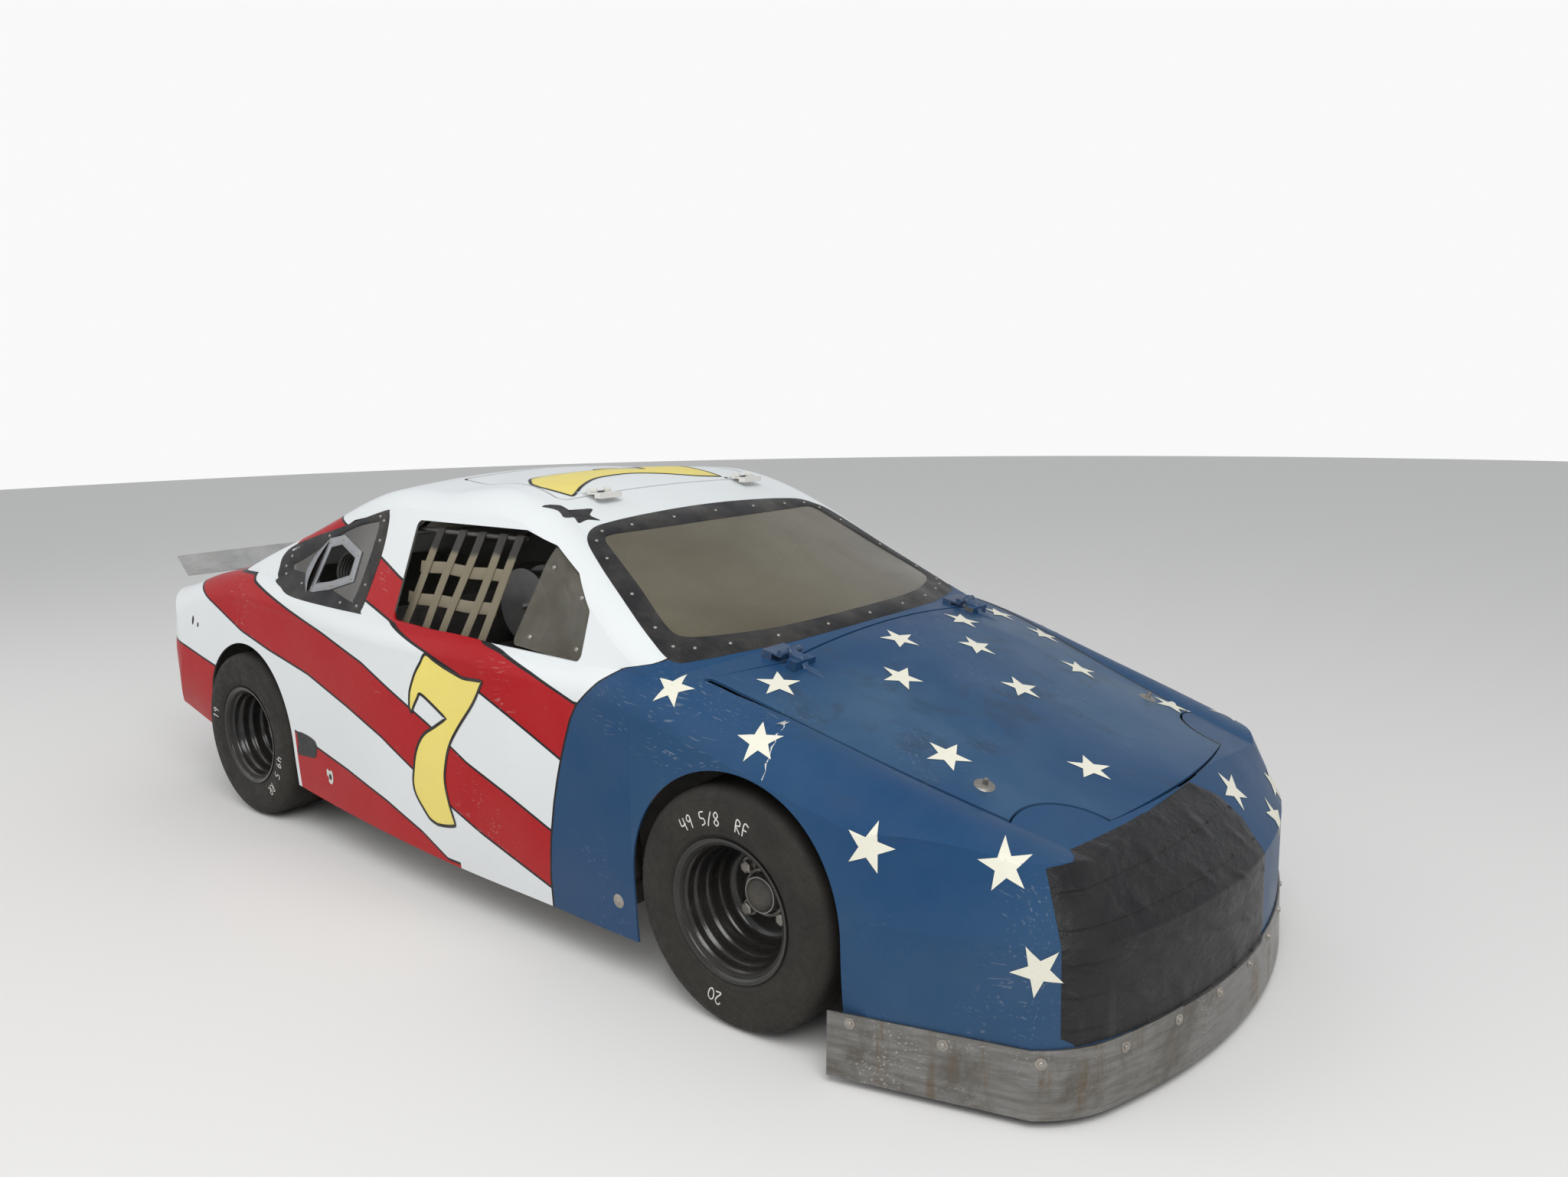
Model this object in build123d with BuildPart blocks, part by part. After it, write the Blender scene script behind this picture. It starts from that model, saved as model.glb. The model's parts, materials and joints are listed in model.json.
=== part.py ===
from build123d import *
from collections import namedtuple
from math import cos, radians, sin
import os

# Half-size circle track stock car. Millimetres, +X forward, +Y to the driver's left, +Z up.
# The origin is on the ground, halfway along the car and on its centre line.

# Driving dimensions of the whole car
overall_length = 2700
wheelbase = 1570
front_overhang = 630
wall = 4                      # thickness of the moulded body panels
panel_gap = 5                 # gap round the hood and the roof hatch

# Wheels and tyres
tyre_radius = 199
tyre_width = 175
tread_width = 150
rim_radius = 117              # outside of the rim's lips
bead_radius = 102             # outside of the rim's barrel
rim_width = 165
rim_wall = 3.5
hub_radius = 30
lug_circle_radius = 50.8
lug_count = 4
lug_hole_radius = 6
front_rim_face_y = 515        # outer lips of the front rims
rear_rim_face_y = 482
dish_depth = 100              # from a rim's outer lips to its disc
disc_thickness = 5

# Wheel arches
front_arch_radius = 212
front_arch_z = 212
front_arch_shift = 8          # arch centre ahead of the front axle
rear_arch_radius = 208
rear_arch_z = 214
rear_arch_shift = 2

# Steering and front axle
kingpin_y = 372
kingpin_radius = 8
knuckle_gap = 5
steer_arm_length = 70
steer_arm_inset = 12          # how far the arm's eye stands inboard of the kingpin
axle_tube_radius = 19
steering_wheel_radius = 125
steering_wheel_x = -655       # from the front axle
steering_wheel_z = 475
driver_y = 165

# Frame, floor and cage
rail_size = 38
rail_bottom_z = 108
rail_y = 225
floor_thickness = 2.5
cage_radius = 14
cage_bend = 60
bar_radius = 10
stay_radius = 13

# Glazing and trim
glass_thickness = 3
spoiler_thickness = 2.5
valance_thickness = 2.5
valance_flare = 3             # how far the valance's lower lip stands out
skin_clearance = 1            # between the body's skin and the valance
cover_thickness = 1.5

# Places that follow from the driving dimensions
front_axle_x = overall_length / 2 - front_overhang
rear_axle_x = front_axle_x - wheelbase
tail_x = -overall_length / 2
axle_z = tyre_radius
F = front_axle_x
R = rear_axle_x

os.makedirs("parts", exist_ok=True)


def finish(piece, name):
    """Names a finished piece and writes it."""
    piece.part.label = name
    export_step(piece.part, f"parts/{name}.step")


def rod(start, end, radius, mode=Mode.ADD):
    """A straight round bar between two points."""
    direction = Vector(*end) - Vector(*start)
    with BuildPart(mode=Mode.PRIVATE) as bar:
        with BuildSketch(Plane(origin=start, z_dir=direction)):
            Circle(radius)
        extrude(amount=direction.length)
    add(bar.part, mode=mode)


def bent_tube(points, bend, radius):
    """A round tube along straight runs joined by bends."""
    with BuildPart(mode=Mode.PRIVATE) as tube:
        with BuildLine() as path:
            FilletPolyline(*points, radius=bend)
        with BuildSketch(Plane(origin=path.line @ 0, z_dir=path.line % 0)):
            Circle(radius)
        sweep(path=path.line)
    add(tube.part)


def block(low, high, mode=Mode.ADD):
    """A box between its lowest and highest corners."""
    centre = [(a + b) / 2 for a, b in zip(low, high)]
    with Locations(tuple(centre)):
        Box(high[0] - low[0], high[1] - low[1], high[2] - low[2], mode=mode)


# Lower body. Every station is half of a section across the car, from the sill up to the centre line:
# side from the sill over the widest point to the belt, a shoulder arc, then the crown of the top.
BodyStation = namedtuple("BodyStation", "x sill_y sill_z wide_y wide_z belt_y belt_z top_y top_z centre_z")
body_stations = [
    BodyStation(F + 660, 540, 100, 545, 180, 520, 262, 350, 300, 313),
    BodyStation(F + 395, 502, 100, 507, 200, 490, 328, 350, 383, 410),
    BodyStation(F + 190, 514, 96, 520, 250, 506, 388, 386, 446, 484),
    BodyStation(F - 10, 516, 92, 520, 300, 512, 438, 418, 512, 556),
    BodyStation(F - 178, 515, 88, 520, 300, 511, 475, 446, 544, 580),
    BodyStation(F - 400, 512, 90, 518, 300, 506, 488, 468, 534, 560),
    BodyStation(R + 630, 505, 100, 508, 300, 500, 492, 466, 545, 572),
    BodyStation(R + 300, 484, 112, 489, 300, 482, 505, 448, 562, 596),
    BodyStation(R + 30, 462, 130, 474, 300, 468, 515, 428, 586, 612),
    BodyStation(tail_x + 250, 452, 180, 472, 330, 466, 485, 410, 553, 578),
    BodyStation(tail_x - 20, 440, 225, 472, 360, 462, 445, 400, 510, 530),
]
shoulder_bulge = 0.16         # rise of the shoulder arc, as a share of its chord

# Greenhouse. Base and rail end the side face, then a corner arc up to the crown of the roof.
RoofStation = namedtuple("RoofStation", "x base_y base_z rail_y rail_z roof_y roof_z centre_z")
roof_stations = [
    RoofStation(F - 45, 487, 440, 484, 470, 470, 485, 558),
    RoofStation(F - 178, 486, 480, 474, 530, 440, 555, 617),
    RoofStation(F - 340, 488, 500, 449, 608, 388, 650, 689),
    RoofStation(F - 502, 488, 500, 404, 714, 335, 745, 762),
    RoofStation(F - 600, 488, 500, 388, 752, 322, 787, 799),
    RoofStation(F - 900, 488, 500, 385, 762, 328, 798, 818),
    RoofStation(R + 440, 478, 500, 385, 750, 335, 785, 806),
    RoofStation(R + 247, 466, 500, 398, 684, 360, 712, 732),
    RoofStation(R + 105, 455, 500, 410, 634, 378, 659, 672),
    RoofStation(R - 50, 447, 500, 425, 580, 398, 598, 603),
    RoofStation(R - 130, 442, 480, 430, 550, 405, 565, 567),
]
corner_bulge = 0.13

# Plan outlines of the nose and tail, for the body's ends: nose arc, corner arc and side, at two heights
# with the bumper crease at the first.
crease_z = 253
hood_lip_z = 372
nose_lip_x = overall_length / 2 - skin_clearance - valance_thickness - valance_flare
NoseOutline = namedtuple("NoseOutline", "z front_x arc_x arc_y mid_x mid_y corner_x corner_y side_x side_y")
nose_outlines = [
    NoseOutline(0, 0, -62, 350, -92, 408, -140, 452, -425, 531),
    NoseOutline(crease_z, 0, -60, 345, -92, 400, -142, 446, -425, 531),
    NoseOutline(hood_lip_z, -104, -122, 330, -140, 384, -180, 424, -425, 520),
    NoseOutline(700, -104, -122, 330, -140, 384, -180, 424, -425, 520),
]
TailOutline = namedtuple("TailOutline", "z end_x corner_radius")
tail_outlines = [TailOutline(0, 24, 150), TailOutline(362, 0, 160), TailOutline(700, 62, 165)]
tail_half_width = 474
tail_crown = 14


def arc_between(start, end, bulge):
    """A three-point arc whose middle stands off its chord by a share of the chord, to the left."""
    chord_y, chord_z = end[0] - start[0], end[1] - start[1]
    middle = ((start[0] + end[0]) / 2 + chord_z * bulge, (start[1] + end[1]) / 2 - chord_y * bulge)
    ThreePointArc(start, middle, end)


def body_section(s, inset, extra_depth):
    """One closed section of the lower body, drawn inside its skin by an inset and let down below its sill."""
    half = inset * 0.7
    sill = (s.sill_y - inset, s.sill_z)
    foot = (sill[0], s.sill_z - extra_depth)
    wide = (s.wide_y - inset, s.wide_z)
    belt = (s.belt_y - inset, s.belt_z - half)
    top = (s.top_y - half, s.top_z - inset)
    with BuildSketch(Plane.YZ.offset(s.x)) as section:
        with BuildLine():
            Line((-foot[0], foot[1]), foot)
            if extra_depth > 0:
                Line(foot, sill)
                Line((-foot[0], foot[1]), (-sill[0], sill[1]))
            ThreePointArc(sill, wide, belt)
            arc_between(belt, top, shoulder_bulge)
            ThreePointArc(top, (0, s.centre_z - inset), (-top[0], top[1]))
            arc_between((-top[0], top[1]), (-belt[0], belt[1]), shoulder_bulge)
            ThreePointArc((-belt[0], belt[1]), (-wide[0], wide[1]), (-sill[0], sill[1]))
        make_face()
    return section.sketch


def roof_section(s, inset, extra_depth):
    """One closed section of the greenhouse, drawn inside its skin by an inset and let down below its base."""
    half = inset * 0.7
    base = (s.base_y - inset, s.base_z)
    foot = (base[0], s.base_z - extra_depth)
    rail = (s.rail_y - inset, s.rail_z - half)
    roof = (s.roof_y - half, s.roof_z - inset)
    with BuildSketch(Plane.YZ.offset(s.x)) as section:
        with BuildLine():
            Line((-foot[0], foot[1]), foot)
            if extra_depth > 0:
                Line(foot, base)
                Line((-foot[0], foot[1]), (-base[0], base[1]))
            Line(base, rail)
            arc_between(rail, roof, corner_bulge)
            ThreePointArc(roof, (0, s.centre_z - inset), (-roof[0], roof[1]))
            arc_between((-roof[0], roof[1]), (-rail[0], rail[1]), corner_bulge)
            Line((-rail[0], rail[1]), (-base[0], base[1]))
        make_face()
    return section.sketch


def nose_lines(o, inset):
    """The lines of one plan outline of the nose, closed behind the front wheels."""
    lip = nose_lip_x - inset
    front = (lip + o.front_x, 0)
    arc_end = (lip + o.arc_x, o.arc_y - inset * 0.5)
    middle = (lip + o.mid_x, o.mid_y - inset * 0.8)
    corner = (lip + o.corner_x, o.corner_y - inset)
    side = (lip + o.side_x, o.side_y - inset)
    back = (F - 420, side[1] + 20)
    Line((back[0], -back[1]), (side[0], -side[1]))
    Line((side[0], -side[1]), (corner[0], -corner[1]))
    ThreePointArc((corner[0], -corner[1]), (middle[0], -middle[1]), (arc_end[0], -arc_end[1]))
    ThreePointArc((arc_end[0], -arc_end[1]), front, arc_end)
    ThreePointArc(arc_end, middle, corner)
    Line(corner, side)
    Line(side, back)
    Line(back, (back[0], -back[1]))


def nose_block(inset):
    """The solid that rounds the front clip in plan and rakes it above the bumper crease."""
    with BuildPart() as block:
        for o in nose_outlines:
            with BuildSketch(Plane.XY.offset(o.z)):
                with BuildLine():
                    nose_lines(o, inset)
                make_face()
        loft(ruled=True)
    return block.part


def tail_block(inset):
    """The solid that rounds the tail in plan and slopes its face above and below the crease."""
    with BuildPart() as block:
        for o in tail_outlines:
            end = tail_x + o.end_x + inset
            width = tail_half_width + 40
            radius = o.corner_radius
            corner_y = tail_half_width - radius
            turn = cos(radians(45)) * (radius - inset)
            with BuildSketch(Plane.XY.offset(o.z)):
                with BuildLine():
                    Line((R + 300, width), (R + 300, -width))
                    Line((R + 300, -width), (end + tail_crown + radius + 60, -width))
                    Line((end + tail_crown + radius + 60, -width),
                         (end + tail_crown + radius, -(corner_y + radius - inset)))
                    ThreePointArc((end + tail_crown + radius, -(corner_y + radius - inset)),
                                  (end + tail_crown + radius - turn, -(corner_y + turn)),
                                  (end + tail_crown + inset, -corner_y))
                    ThreePointArc((end + tail_crown + inset, -corner_y), (end, 0),
                                  (end + tail_crown + inset, corner_y))
                    ThreePointArc((end + tail_crown + inset, corner_y),
                                  (end + tail_crown + radius - turn, corner_y + turn),
                                  (end + tail_crown + radius, corner_y + radius - inset))
                    Line((end + tail_crown + radius, corner_y + radius - inset),
                         (end + tail_crown + radius + 60, width))
                    Line((end + tail_crown + radius + 60, width), (R + 300, width))
                make_face()
        loft(ruled=True)
    return block.part


def lower_body(inset, extra_depth):
    """The lower body as a solid: the lofted sections, cut to the nose's and the tail's outlines."""
    middle_length = (F - 205) - (R + 200)
    with BuildPart() as hull:
        loft(sections=[body_section(s, inset, extra_depth) for s in body_stations])
    with BuildPart() as ends:
        add(nose_block(inset))
        add(tail_block(inset))
        with Locations(((F - 205 + R + 200) / 2, 0, 350)):
            Box(middle_length + 200, 2 * 600, 700)
    with BuildPart() as body:
        add(hull.part)
        add(ends.part, mode=Mode.INTERSECT)
    return body.part


def greenhouse_solid(inset, extra_depth):
    """The greenhouse as a solid."""
    with BuildPart() as hull:
        loft(sections=[roof_section(s, inset, extra_depth) for s in roof_stations])
    return hull.part


def rounded_prism(plane, points, radius, near, far):
    """A prism with rounded corners, to cut an opening or to trim a panel."""
    with BuildPart() as prism:
        with BuildSketch(plane.offset(near)):
            with BuildLine():
                FilletPolyline(*points, radius=radius, close=True)
            make_face()
        extrude(amount=far - near)
    return prism.part


body_outer = lower_body(0, 0)
body_inner = lower_body(wall, 60)
roof_outer = greenhouse_solid(0, 0)
roof_inner = greenhouse_solid(wall, 30)
roof_glass_inner = greenhouse_solid(glass_thickness, 30)

with BuildPart() as lower_shell:
    add(body_outer)
    add(body_inner, mode=Mode.SUBTRACT)
    add(roof_outer, mode=Mode.SUBTRACT)
    for x, z, radius in (
        (front_axle_x + front_arch_shift, front_arch_z, front_arch_radius),
        (rear_axle_x + rear_arch_shift, rear_arch_z, rear_arch_radius),
    ):
        with Locations(Location((x, 0, z), (90, 0, 0))):
            Cylinder(radius, 1300, mode=Mode.SUBTRACT)
        with Locations((x, 0, z / 2)):
            Box(2 * radius, 1300, z, mode=Mode.SUBTRACT)

# Hood. Its outline is cut straight down: rear edge, side seams and round notches over the lamps.
hood_rear_x = F - 56
hood_corner_x = F - 112
hood_rear_y = 436
hood_front_x = F + 520
hood_side_x = F + 397
hood_side_y = 350
hood_shoulder_x = F - 45      # the side seam is straight back from here, so the corners can dip when it opens
hood_shoulder_y = 433
hood_wide_gap = 12            # gap along the rear of the side seams
hood_taper_x = F + 70         # where the wide gap has closed up to the narrow one
lamp_x = F + 490
lamp_y = 330
lamp_radius = 100


def hood_prism(gap):
    """The hood's outline as a prism, drawn in by a gap, more along the rear of its sides."""
    side_gap = hood_wide_gap if gap > 0 else 0
    taper_share = (hood_taper_x - hood_shoulder_x) / (hood_side_x - hood_shoulder_x)
    taper_y = hood_shoulder_y + (hood_side_y - hood_shoulder_y) * taper_share
    rear = (hood_rear_x + gap, 300)
    corner = (hood_corner_x + gap, hood_rear_y - side_gap)
    shoulder = (hood_shoulder_x, hood_shoulder_y - side_gap)
    taper = (hood_taper_x, taper_y - gap)
    notch_start = (hood_side_x - gap, hood_side_y - gap)
    reach = lamp_radius + gap
    notch_middle = (lamp_x - reach * cos(radians(45)), lamp_y - reach * sin(radians(45)))
    notch_end = (lamp_x + 2, lamp_y - reach)
    front = (hood_front_x - gap, 0)
    with BuildPart() as prism:
        with BuildSketch(Plane.XY.offset(320)):
            with BuildLine():
                Line((rear[0], -rear[1]), rear)
                Line(rear, corner)
                Polyline(corner, shoulder, taper, notch_start)
                ThreePointArc(notch_start, notch_middle, notch_end)
                ThreePointArc(notch_end, front, (notch_end[0], -notch_end[1]))
                ThreePointArc((notch_end[0], -notch_end[1]), (notch_middle[0], -notch_middle[1]),
                              (notch_start[0], -notch_start[1]))
                Polyline((notch_start[0], -notch_start[1]), (taper[0], -taper[1]),
                         (shoulder[0], -shoulder[1]), (corner[0], -corner[1]))
                Line((corner[0], -corner[1]), (rear[0], -rear[1]))
            make_face()
        extrude(amount=400)
    return prism.part


front_seam_x = F - 205
rear_seam_x = R + 205

with BuildPart() as front_clip:
    add(lower_shell.part)
    with Locations((front_seam_x + 600, 0, 400)):
        Box(1200, 1400, 1000, mode=Mode.INTERSECT)
    add(hood_prism(0), mode=Mode.SUBTRACT)
finish(front_clip, "front_clip")

# Hinges of the hood and the hatch. Each is drawn about a barrel along Y at the origin, then set on its skin.
hinge_width = 54
hinge_leaf_reach = 36
leaf_thickness = 3
leaf_start = 17               # from the barrel's axis to the pad that sits on the skin
leaf_sink = 5                 # how far the pad is let down so that the skin's slope can cut it
barrel_radius = 6
hatch_barrel_drop = 8         # from the barrel's axis down to the skin
hood_barrel_drop = 14.5       # more at the hood, whose crown rises between its hinges
hinge_pin_radius = 2.5
knuckle_share = hinge_width / 3


def hinge_half(direction, fixed, barrel_drop):
    """One half of a hinge: the outer knuckles with the pin, or the middle knuckle, and the leaf."""
    half = hinge_width / 2
    middle = knuckle_share / 2
    spans = ((-half, -middle - 1), (middle + 1, half)) if fixed else ((-middle, middle),)
    with BuildPart(mode=Mode.PRIVATE) as leaf:
        for low, high in spans:
            rod((0, low, 0), (0, high, 0), barrel_radius)
            block((min(0, direction * leaf_start), low, -barrel_radius),
                  (max(0, direction * leaf_start), high, leaf_thickness - barrel_radius))
        block((min(direction * leaf_start, direction * hinge_leaf_reach), -half, -barrel_drop - leaf_sink),
              (max(direction * leaf_start, direction * hinge_leaf_reach), half, leaf_thickness - barrel_radius))
        if fixed:
            rod((0, -half, 0), (0, half, 0), hinge_pin_radius)
        else:
            rod((0, -half, 0), (0, half, 0), hinge_pin_radius + 0.4, Mode.SUBTRACT)
    return leaf.part


hood_hinge_x = hood_rear_x + panel_gap / 2
hood_hinge_y = 285
hood_hinge_z = 562.5
hood_hinge_slope = 12         # fall of the hood's skin going forward, degrees

with BuildPart() as hood:
    add(lower_shell.part)
    add(hood_prism(panel_gap), mode=Mode.INTERSECT)
    for side in (-1, 1):
        seat_place = Location((hood_hinge_x, side * hood_hinge_y, hood_hinge_z), (0, hood_hinge_slope, 0))
        add(hinge_half(1, False, hood_barrel_drop).moved(seat_place))
finish(hood, "hood")

for side, name in ((-1, "side_panel_right"), (1, "side_panel_left")):
    with BuildPart() as side_panel:
        add(lower_shell.part)
        with Locations(((front_seam_x + rear_seam_x) / 2, side * 400, 400)):
            Box(front_seam_x - rear_seam_x, 790, 1000, mode=Mode.INTERSECT)
    finish(side_panel, name)

with BuildPart() as rear_clip:
    add(lower_shell.part)
    with Locations((rear_seam_x - 600, 0, 400)):
        Box(1200, 1400, 1000, mode=Mode.INTERSECT)
finish(rear_clip, "rear_clip")

# Roof and pillars in one moulding, with the glazed and open windows cut
windshield_outline = [
    (F - 92, 0), (F - 105, -200), (F - 200, -408), (F - 488, -318),
    (F - 500, 0), (F - 488, 318), (F - 200, 408), (F - 105, 200),
]
door_window_outline = [
    (F - 940, 549), (F - 700, 541), (F - 364, 537), (F - 368, 622),
    (F - 425, 680), (F - 500, 722), (F - 590, 744), (F - 937, 744),
]
quarter_window_outline = [(F - 1098, 545), (F - 1058, 752), (F - 1180, 730), (F - 1425, 612)]
rear_window_outline = [(R + 405, -285), (R + 20, -345), (R + 20, 345), (R + 405, 285)]
hatch_front_x = F - 600
hatch_rear_x = F - 1010
hatch_front_y = 300
hatch_rear_y = 229


def hatch_outline(gap):
    """Four corners of the roof hatch, drawn in by a gap."""
    return [
        (hatch_front_x - gap, -hatch_front_y + gap), (hatch_rear_x + gap, -hatch_rear_y + gap),
        (hatch_rear_x + gap, hatch_rear_y - gap), (hatch_front_x - gap, hatch_front_y - gap),
    ]


windshield_cut = rounded_prism(Plane.XY, windshield_outline, 25, 450, 900)
rear_window_cut = rounded_prism(Plane.XY, rear_window_outline, 40, 450, 900)
door_window_cut = rounded_prism(Plane.XZ, door_window_outline, 14, -600, 600)
quarter_window_cut = rounded_prism(Plane.XZ, quarter_window_outline, 16, -600, 600)

with BuildPart() as greenhouse:
    add(roof_outer)
    add(roof_inner, mode=Mode.SUBTRACT)
    add(windshield_cut, mode=Mode.SUBTRACT)
    add(rear_window_cut, mode=Mode.SUBTRACT)
    add(door_window_cut, mode=Mode.SUBTRACT)
    add(quarter_window_cut, mode=Mode.SUBTRACT)
    add(rounded_prism(Plane.XY, hatch_outline(0), 20, 600, 900), mode=Mode.SUBTRACT)
    add(hood_prism(0), mode=Mode.SUBTRACT)
finish(greenhouse, "greenhouse")

hatch_hinge_x = F - 589
hatch_hinge_y = 212
hatch_hinge_z = 804

with BuildPart() as roof_hatch:
    add(roof_outer)
    add(roof_inner, mode=Mode.SUBTRACT)
    add(rounded_prism(Plane.XY, hatch_outline(panel_gap), 18, 600, 900), mode=Mode.INTERSECT)
    for side in (-1, 1):
        seat_place = Location((hatch_hinge_x, side * hatch_hinge_y, hatch_hinge_z), (0, 0, 0))
        add(hinge_half(-1, False, hatch_barrel_drop).moved(seat_place))
finish(roof_hatch, "roof_hatch")

with BuildPart() as panel_hinges:
    for side in (-1, 1):
        seat_place = Location((hood_hinge_x, side * hood_hinge_y, hood_hinge_z), (0, hood_hinge_slope, 0))
        add(hinge_half(-1, True, hood_barrel_drop).moved(seat_place))
        seat_place = Location((hatch_hinge_x, side * hatch_hinge_y, hatch_hinge_z), (0, 0, 0))
        add(hinge_half(1, True, hatch_barrel_drop).moved(seat_place))
    add(body_outer, mode=Mode.SUBTRACT)
    add(roof_outer, mode=Mode.SUBTRACT)
finish(panel_hinges, "panel_hinges")

for name, cut in (
    ("windshield", windshield_cut),
    ("rear_window", rear_window_cut),
    ("quarter_windows", quarter_window_cut),
):
    with BuildPart() as pane:
        add(roof_outer)
        add(roof_glass_inner, mode=Mode.SUBTRACT)
        add(cut, mode=Mode.INTERSECT)
    finish(pane, name)

# Aluminium valance under the nose: a flared strip bent round the same outline, just outside the skin
valance_bottom_z = 14
valance_top_z = 113
valance_rear_x = F + 205


def nose_outline_at(z):
    """The nose's outline below the crease, between the two rows of the table."""
    low, high = nose_outlines[0], nose_outlines[1]
    share = (z - low.z) / (high.z - low.z)
    return NoseOutline(*(a + (b - a) * share for a, b in zip(low, high)))


def nose_strip(out, thickness, low_z, high_z, flare):
    """A strip that follows the nose's outline, standing off it by a clearance."""
    with BuildPart() as strip:
        for reach, mode in ((out + thickness, Mode.ADD), (out, Mode.SUBTRACT)):
            sections = []
            for z, extra in ((low_z, flare), (high_z, 0)):
                with BuildSketch(Plane.XY.offset(z), mode=Mode.PRIVATE) as level:
                    with BuildLine():
                        nose_lines(nose_outline_at(z), -(reach + extra))
                    make_face()
                sections.append(level.sketch)
            loft(sections=sections, ruled=True, mode=mode)
    return strip.part


with BuildPart() as front_valance:
    add(nose_strip(skin_clearance, valance_thickness, valance_bottom_z, valance_top_z, valance_flare))
    with Locations((valance_rear_x + 400, 0, 60)):
        Box(800, 1300, 200, mode=Mode.INTERSECT)
finish(front_valance, "front_valance")

# Cover over the grille: a thin skin on the nose, to one side of the middle as on the car
cover_right_y = -402
cover_left_y = 55
cover_bottom_z = valance_top_z + 2
cover_top_z = 366
with BuildPart() as grille_cover:
    add(nose_block(-cover_thickness))
    add(nose_block(0), mode=Mode.SUBTRACT)
    add(body_outer, mode=Mode.SUBTRACT)
    with Locations((F + 560, (cover_right_y + cover_left_y) / 2, (cover_bottom_z + cover_top_z) / 2)):
        Box(320, cover_left_y - cover_right_y, cover_top_z - cover_bottom_z, mode=Mode.INTERSECT)
finish(grille_cover, "grille_cover")

# Spoiler: a folded sheet across the rear deck
spoiler_half_width = 400
spoiler_foot_x = tail_x + 82
spoiler_foot_z = 538
spoiler_reach = 52
spoiler_rise = 46
spoiler_foot = 28
with BuildPart() as spoiler:
    with BuildSketch(Plane.XZ.offset(-spoiler_half_width)):
        with BuildLine():
            Polyline(
                (spoiler_foot_x + spoiler_foot, spoiler_foot_z + 6),
                (spoiler_foot_x, spoiler_foot_z),
                (spoiler_foot_x - spoiler_reach, spoiler_foot_z + spoiler_rise),
                (spoiler_foot_x - spoiler_reach, spoiler_foot_z + spoiler_rise + spoiler_thickness * 1.5),
                (spoiler_foot_x, spoiler_foot_z + spoiler_thickness),
                (spoiler_foot_x + spoiler_foot, spoiler_foot_z + 6 + spoiler_thickness),
                close=True,
            )
        make_face()
    extrude(amount=2 * spoiler_half_width)
    add(body_outer, mode=Mode.SUBTRACT)
finish(spoiler, "spoiler")


# Wheels. Profiles are drawn in Y and Z above the axle and turned about it.
def wheel_profile(points):
    """Turns a closed profile, given as distance along the axle and radius, about the wheel's axle."""
    with BuildSketch(Plane.YZ) as section:
        with BuildLine():
            Polyline(*points, close=True)
        make_face()
    return section.sketch


def make_rim(x, face_y, side, name):
    inner = face_y - rim_width
    disc = face_y - dish_depth
    barrel = bead_radius - rim_wall
    points = [
        (face_y, rim_radius), (face_y - rim_wall, rim_radius), (face_y - rim_wall, rim_radius - 9),
        (face_y - 14, bead_radius), (inner + 14, bead_radius), (inner + rim_wall, rim_radius - 9),
        (inner + rim_wall, rim_radius), (inner, rim_radius), (inner, rim_radius - 12), (inner + 12, barrel),
        (disc - disc_thickness, barrel), (disc - disc_thickness, hub_radius + 0.5),
        (disc, hub_radius + 0.5), (disc, barrel), (face_y - 12, barrel), (face_y, rim_radius - 12),
    ]
    with BuildPart() as rim:
        revolve(wheel_profile([(side * y, r) for y, r in points]), axis=Axis.Y)
        with Locations(Location((0, side * (disc - disc_thickness / 2), 0), (90, 0, 0))):
            with PolarLocations(lug_circle_radius, lug_count, start_angle=45):
                Cylinder(lug_hole_radius, 4 * disc_thickness, mode=Mode.SUBTRACT)
    rim.part = rim.part.moved(Location((x, 0, axle_z)))
    finish(rim, name)


def make_tyre(x, face_y, side, name):
    centre = face_y - rim_width / 2
    half = tyre_width / 2
    tread = tread_width / 2
    bead = rim_width / 2 - rim_wall - 1
    seat = rim_width / 2 - 15
    with BuildPart() as tyre:
        with BuildSketch(Plane.YZ) as section:
            with BuildLine():
                Line((centre - seat, bead_radius), (centre + seat, bead_radius))
                Line((centre + seat, bead_radius), (centre + bead, rim_radius - 8))
                Line((centre + bead, rim_radius - 8), (centre + bead, rim_radius + 1))
                ThreePointArc((centre + bead, rim_radius + 1), (centre + half, rim_radius + 34),
                              (centre + half - 5, tyre_radius - 18))
                ThreePointArc((centre + half - 5, tyre_radius - 18), (centre + half - 9, tyre_radius - 7),
                              (centre + tread, tyre_radius - 1.5))
                ThreePointArc((centre + tread, tyre_radius - 1.5), (centre, tyre_radius),
                              (centre - tread, tyre_radius - 1.5))
                ThreePointArc((centre - tread, tyre_radius - 1.5), (centre - half + 9, tyre_radius - 7),
                              (centre - half + 5, tyre_radius - 18))
                ThreePointArc((centre - half + 5, tyre_radius - 18), (centre - half, rim_radius + 34),
                              (centre - bead, rim_radius + 1))
                Line((centre - bead, rim_radius + 1), (centre - bead, rim_radius - 8))
                Line((centre - bead, rim_radius - 8), (centre - seat, bead_radius))
            make_face()
        revolve(axis=Axis.Y)
    turned = tyre.part if side > 0 else tyre.part.mirror(Plane.XZ)
    tyre.part = turned.moved(Location((x, 0, axle_z)))
    finish(tyre, name)


for x, face_y, end in ((F, front_rim_face_y, "front"), (R, rear_rim_face_y, "rear")):
    for side, hand in ((1, "left"), (-1, "right")):
        make_rim(x, face_y, side, f"rim_{end}_{hand}")
        make_tyre(x, face_y, side, f"tyre_{end}_{hand}")

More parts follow.
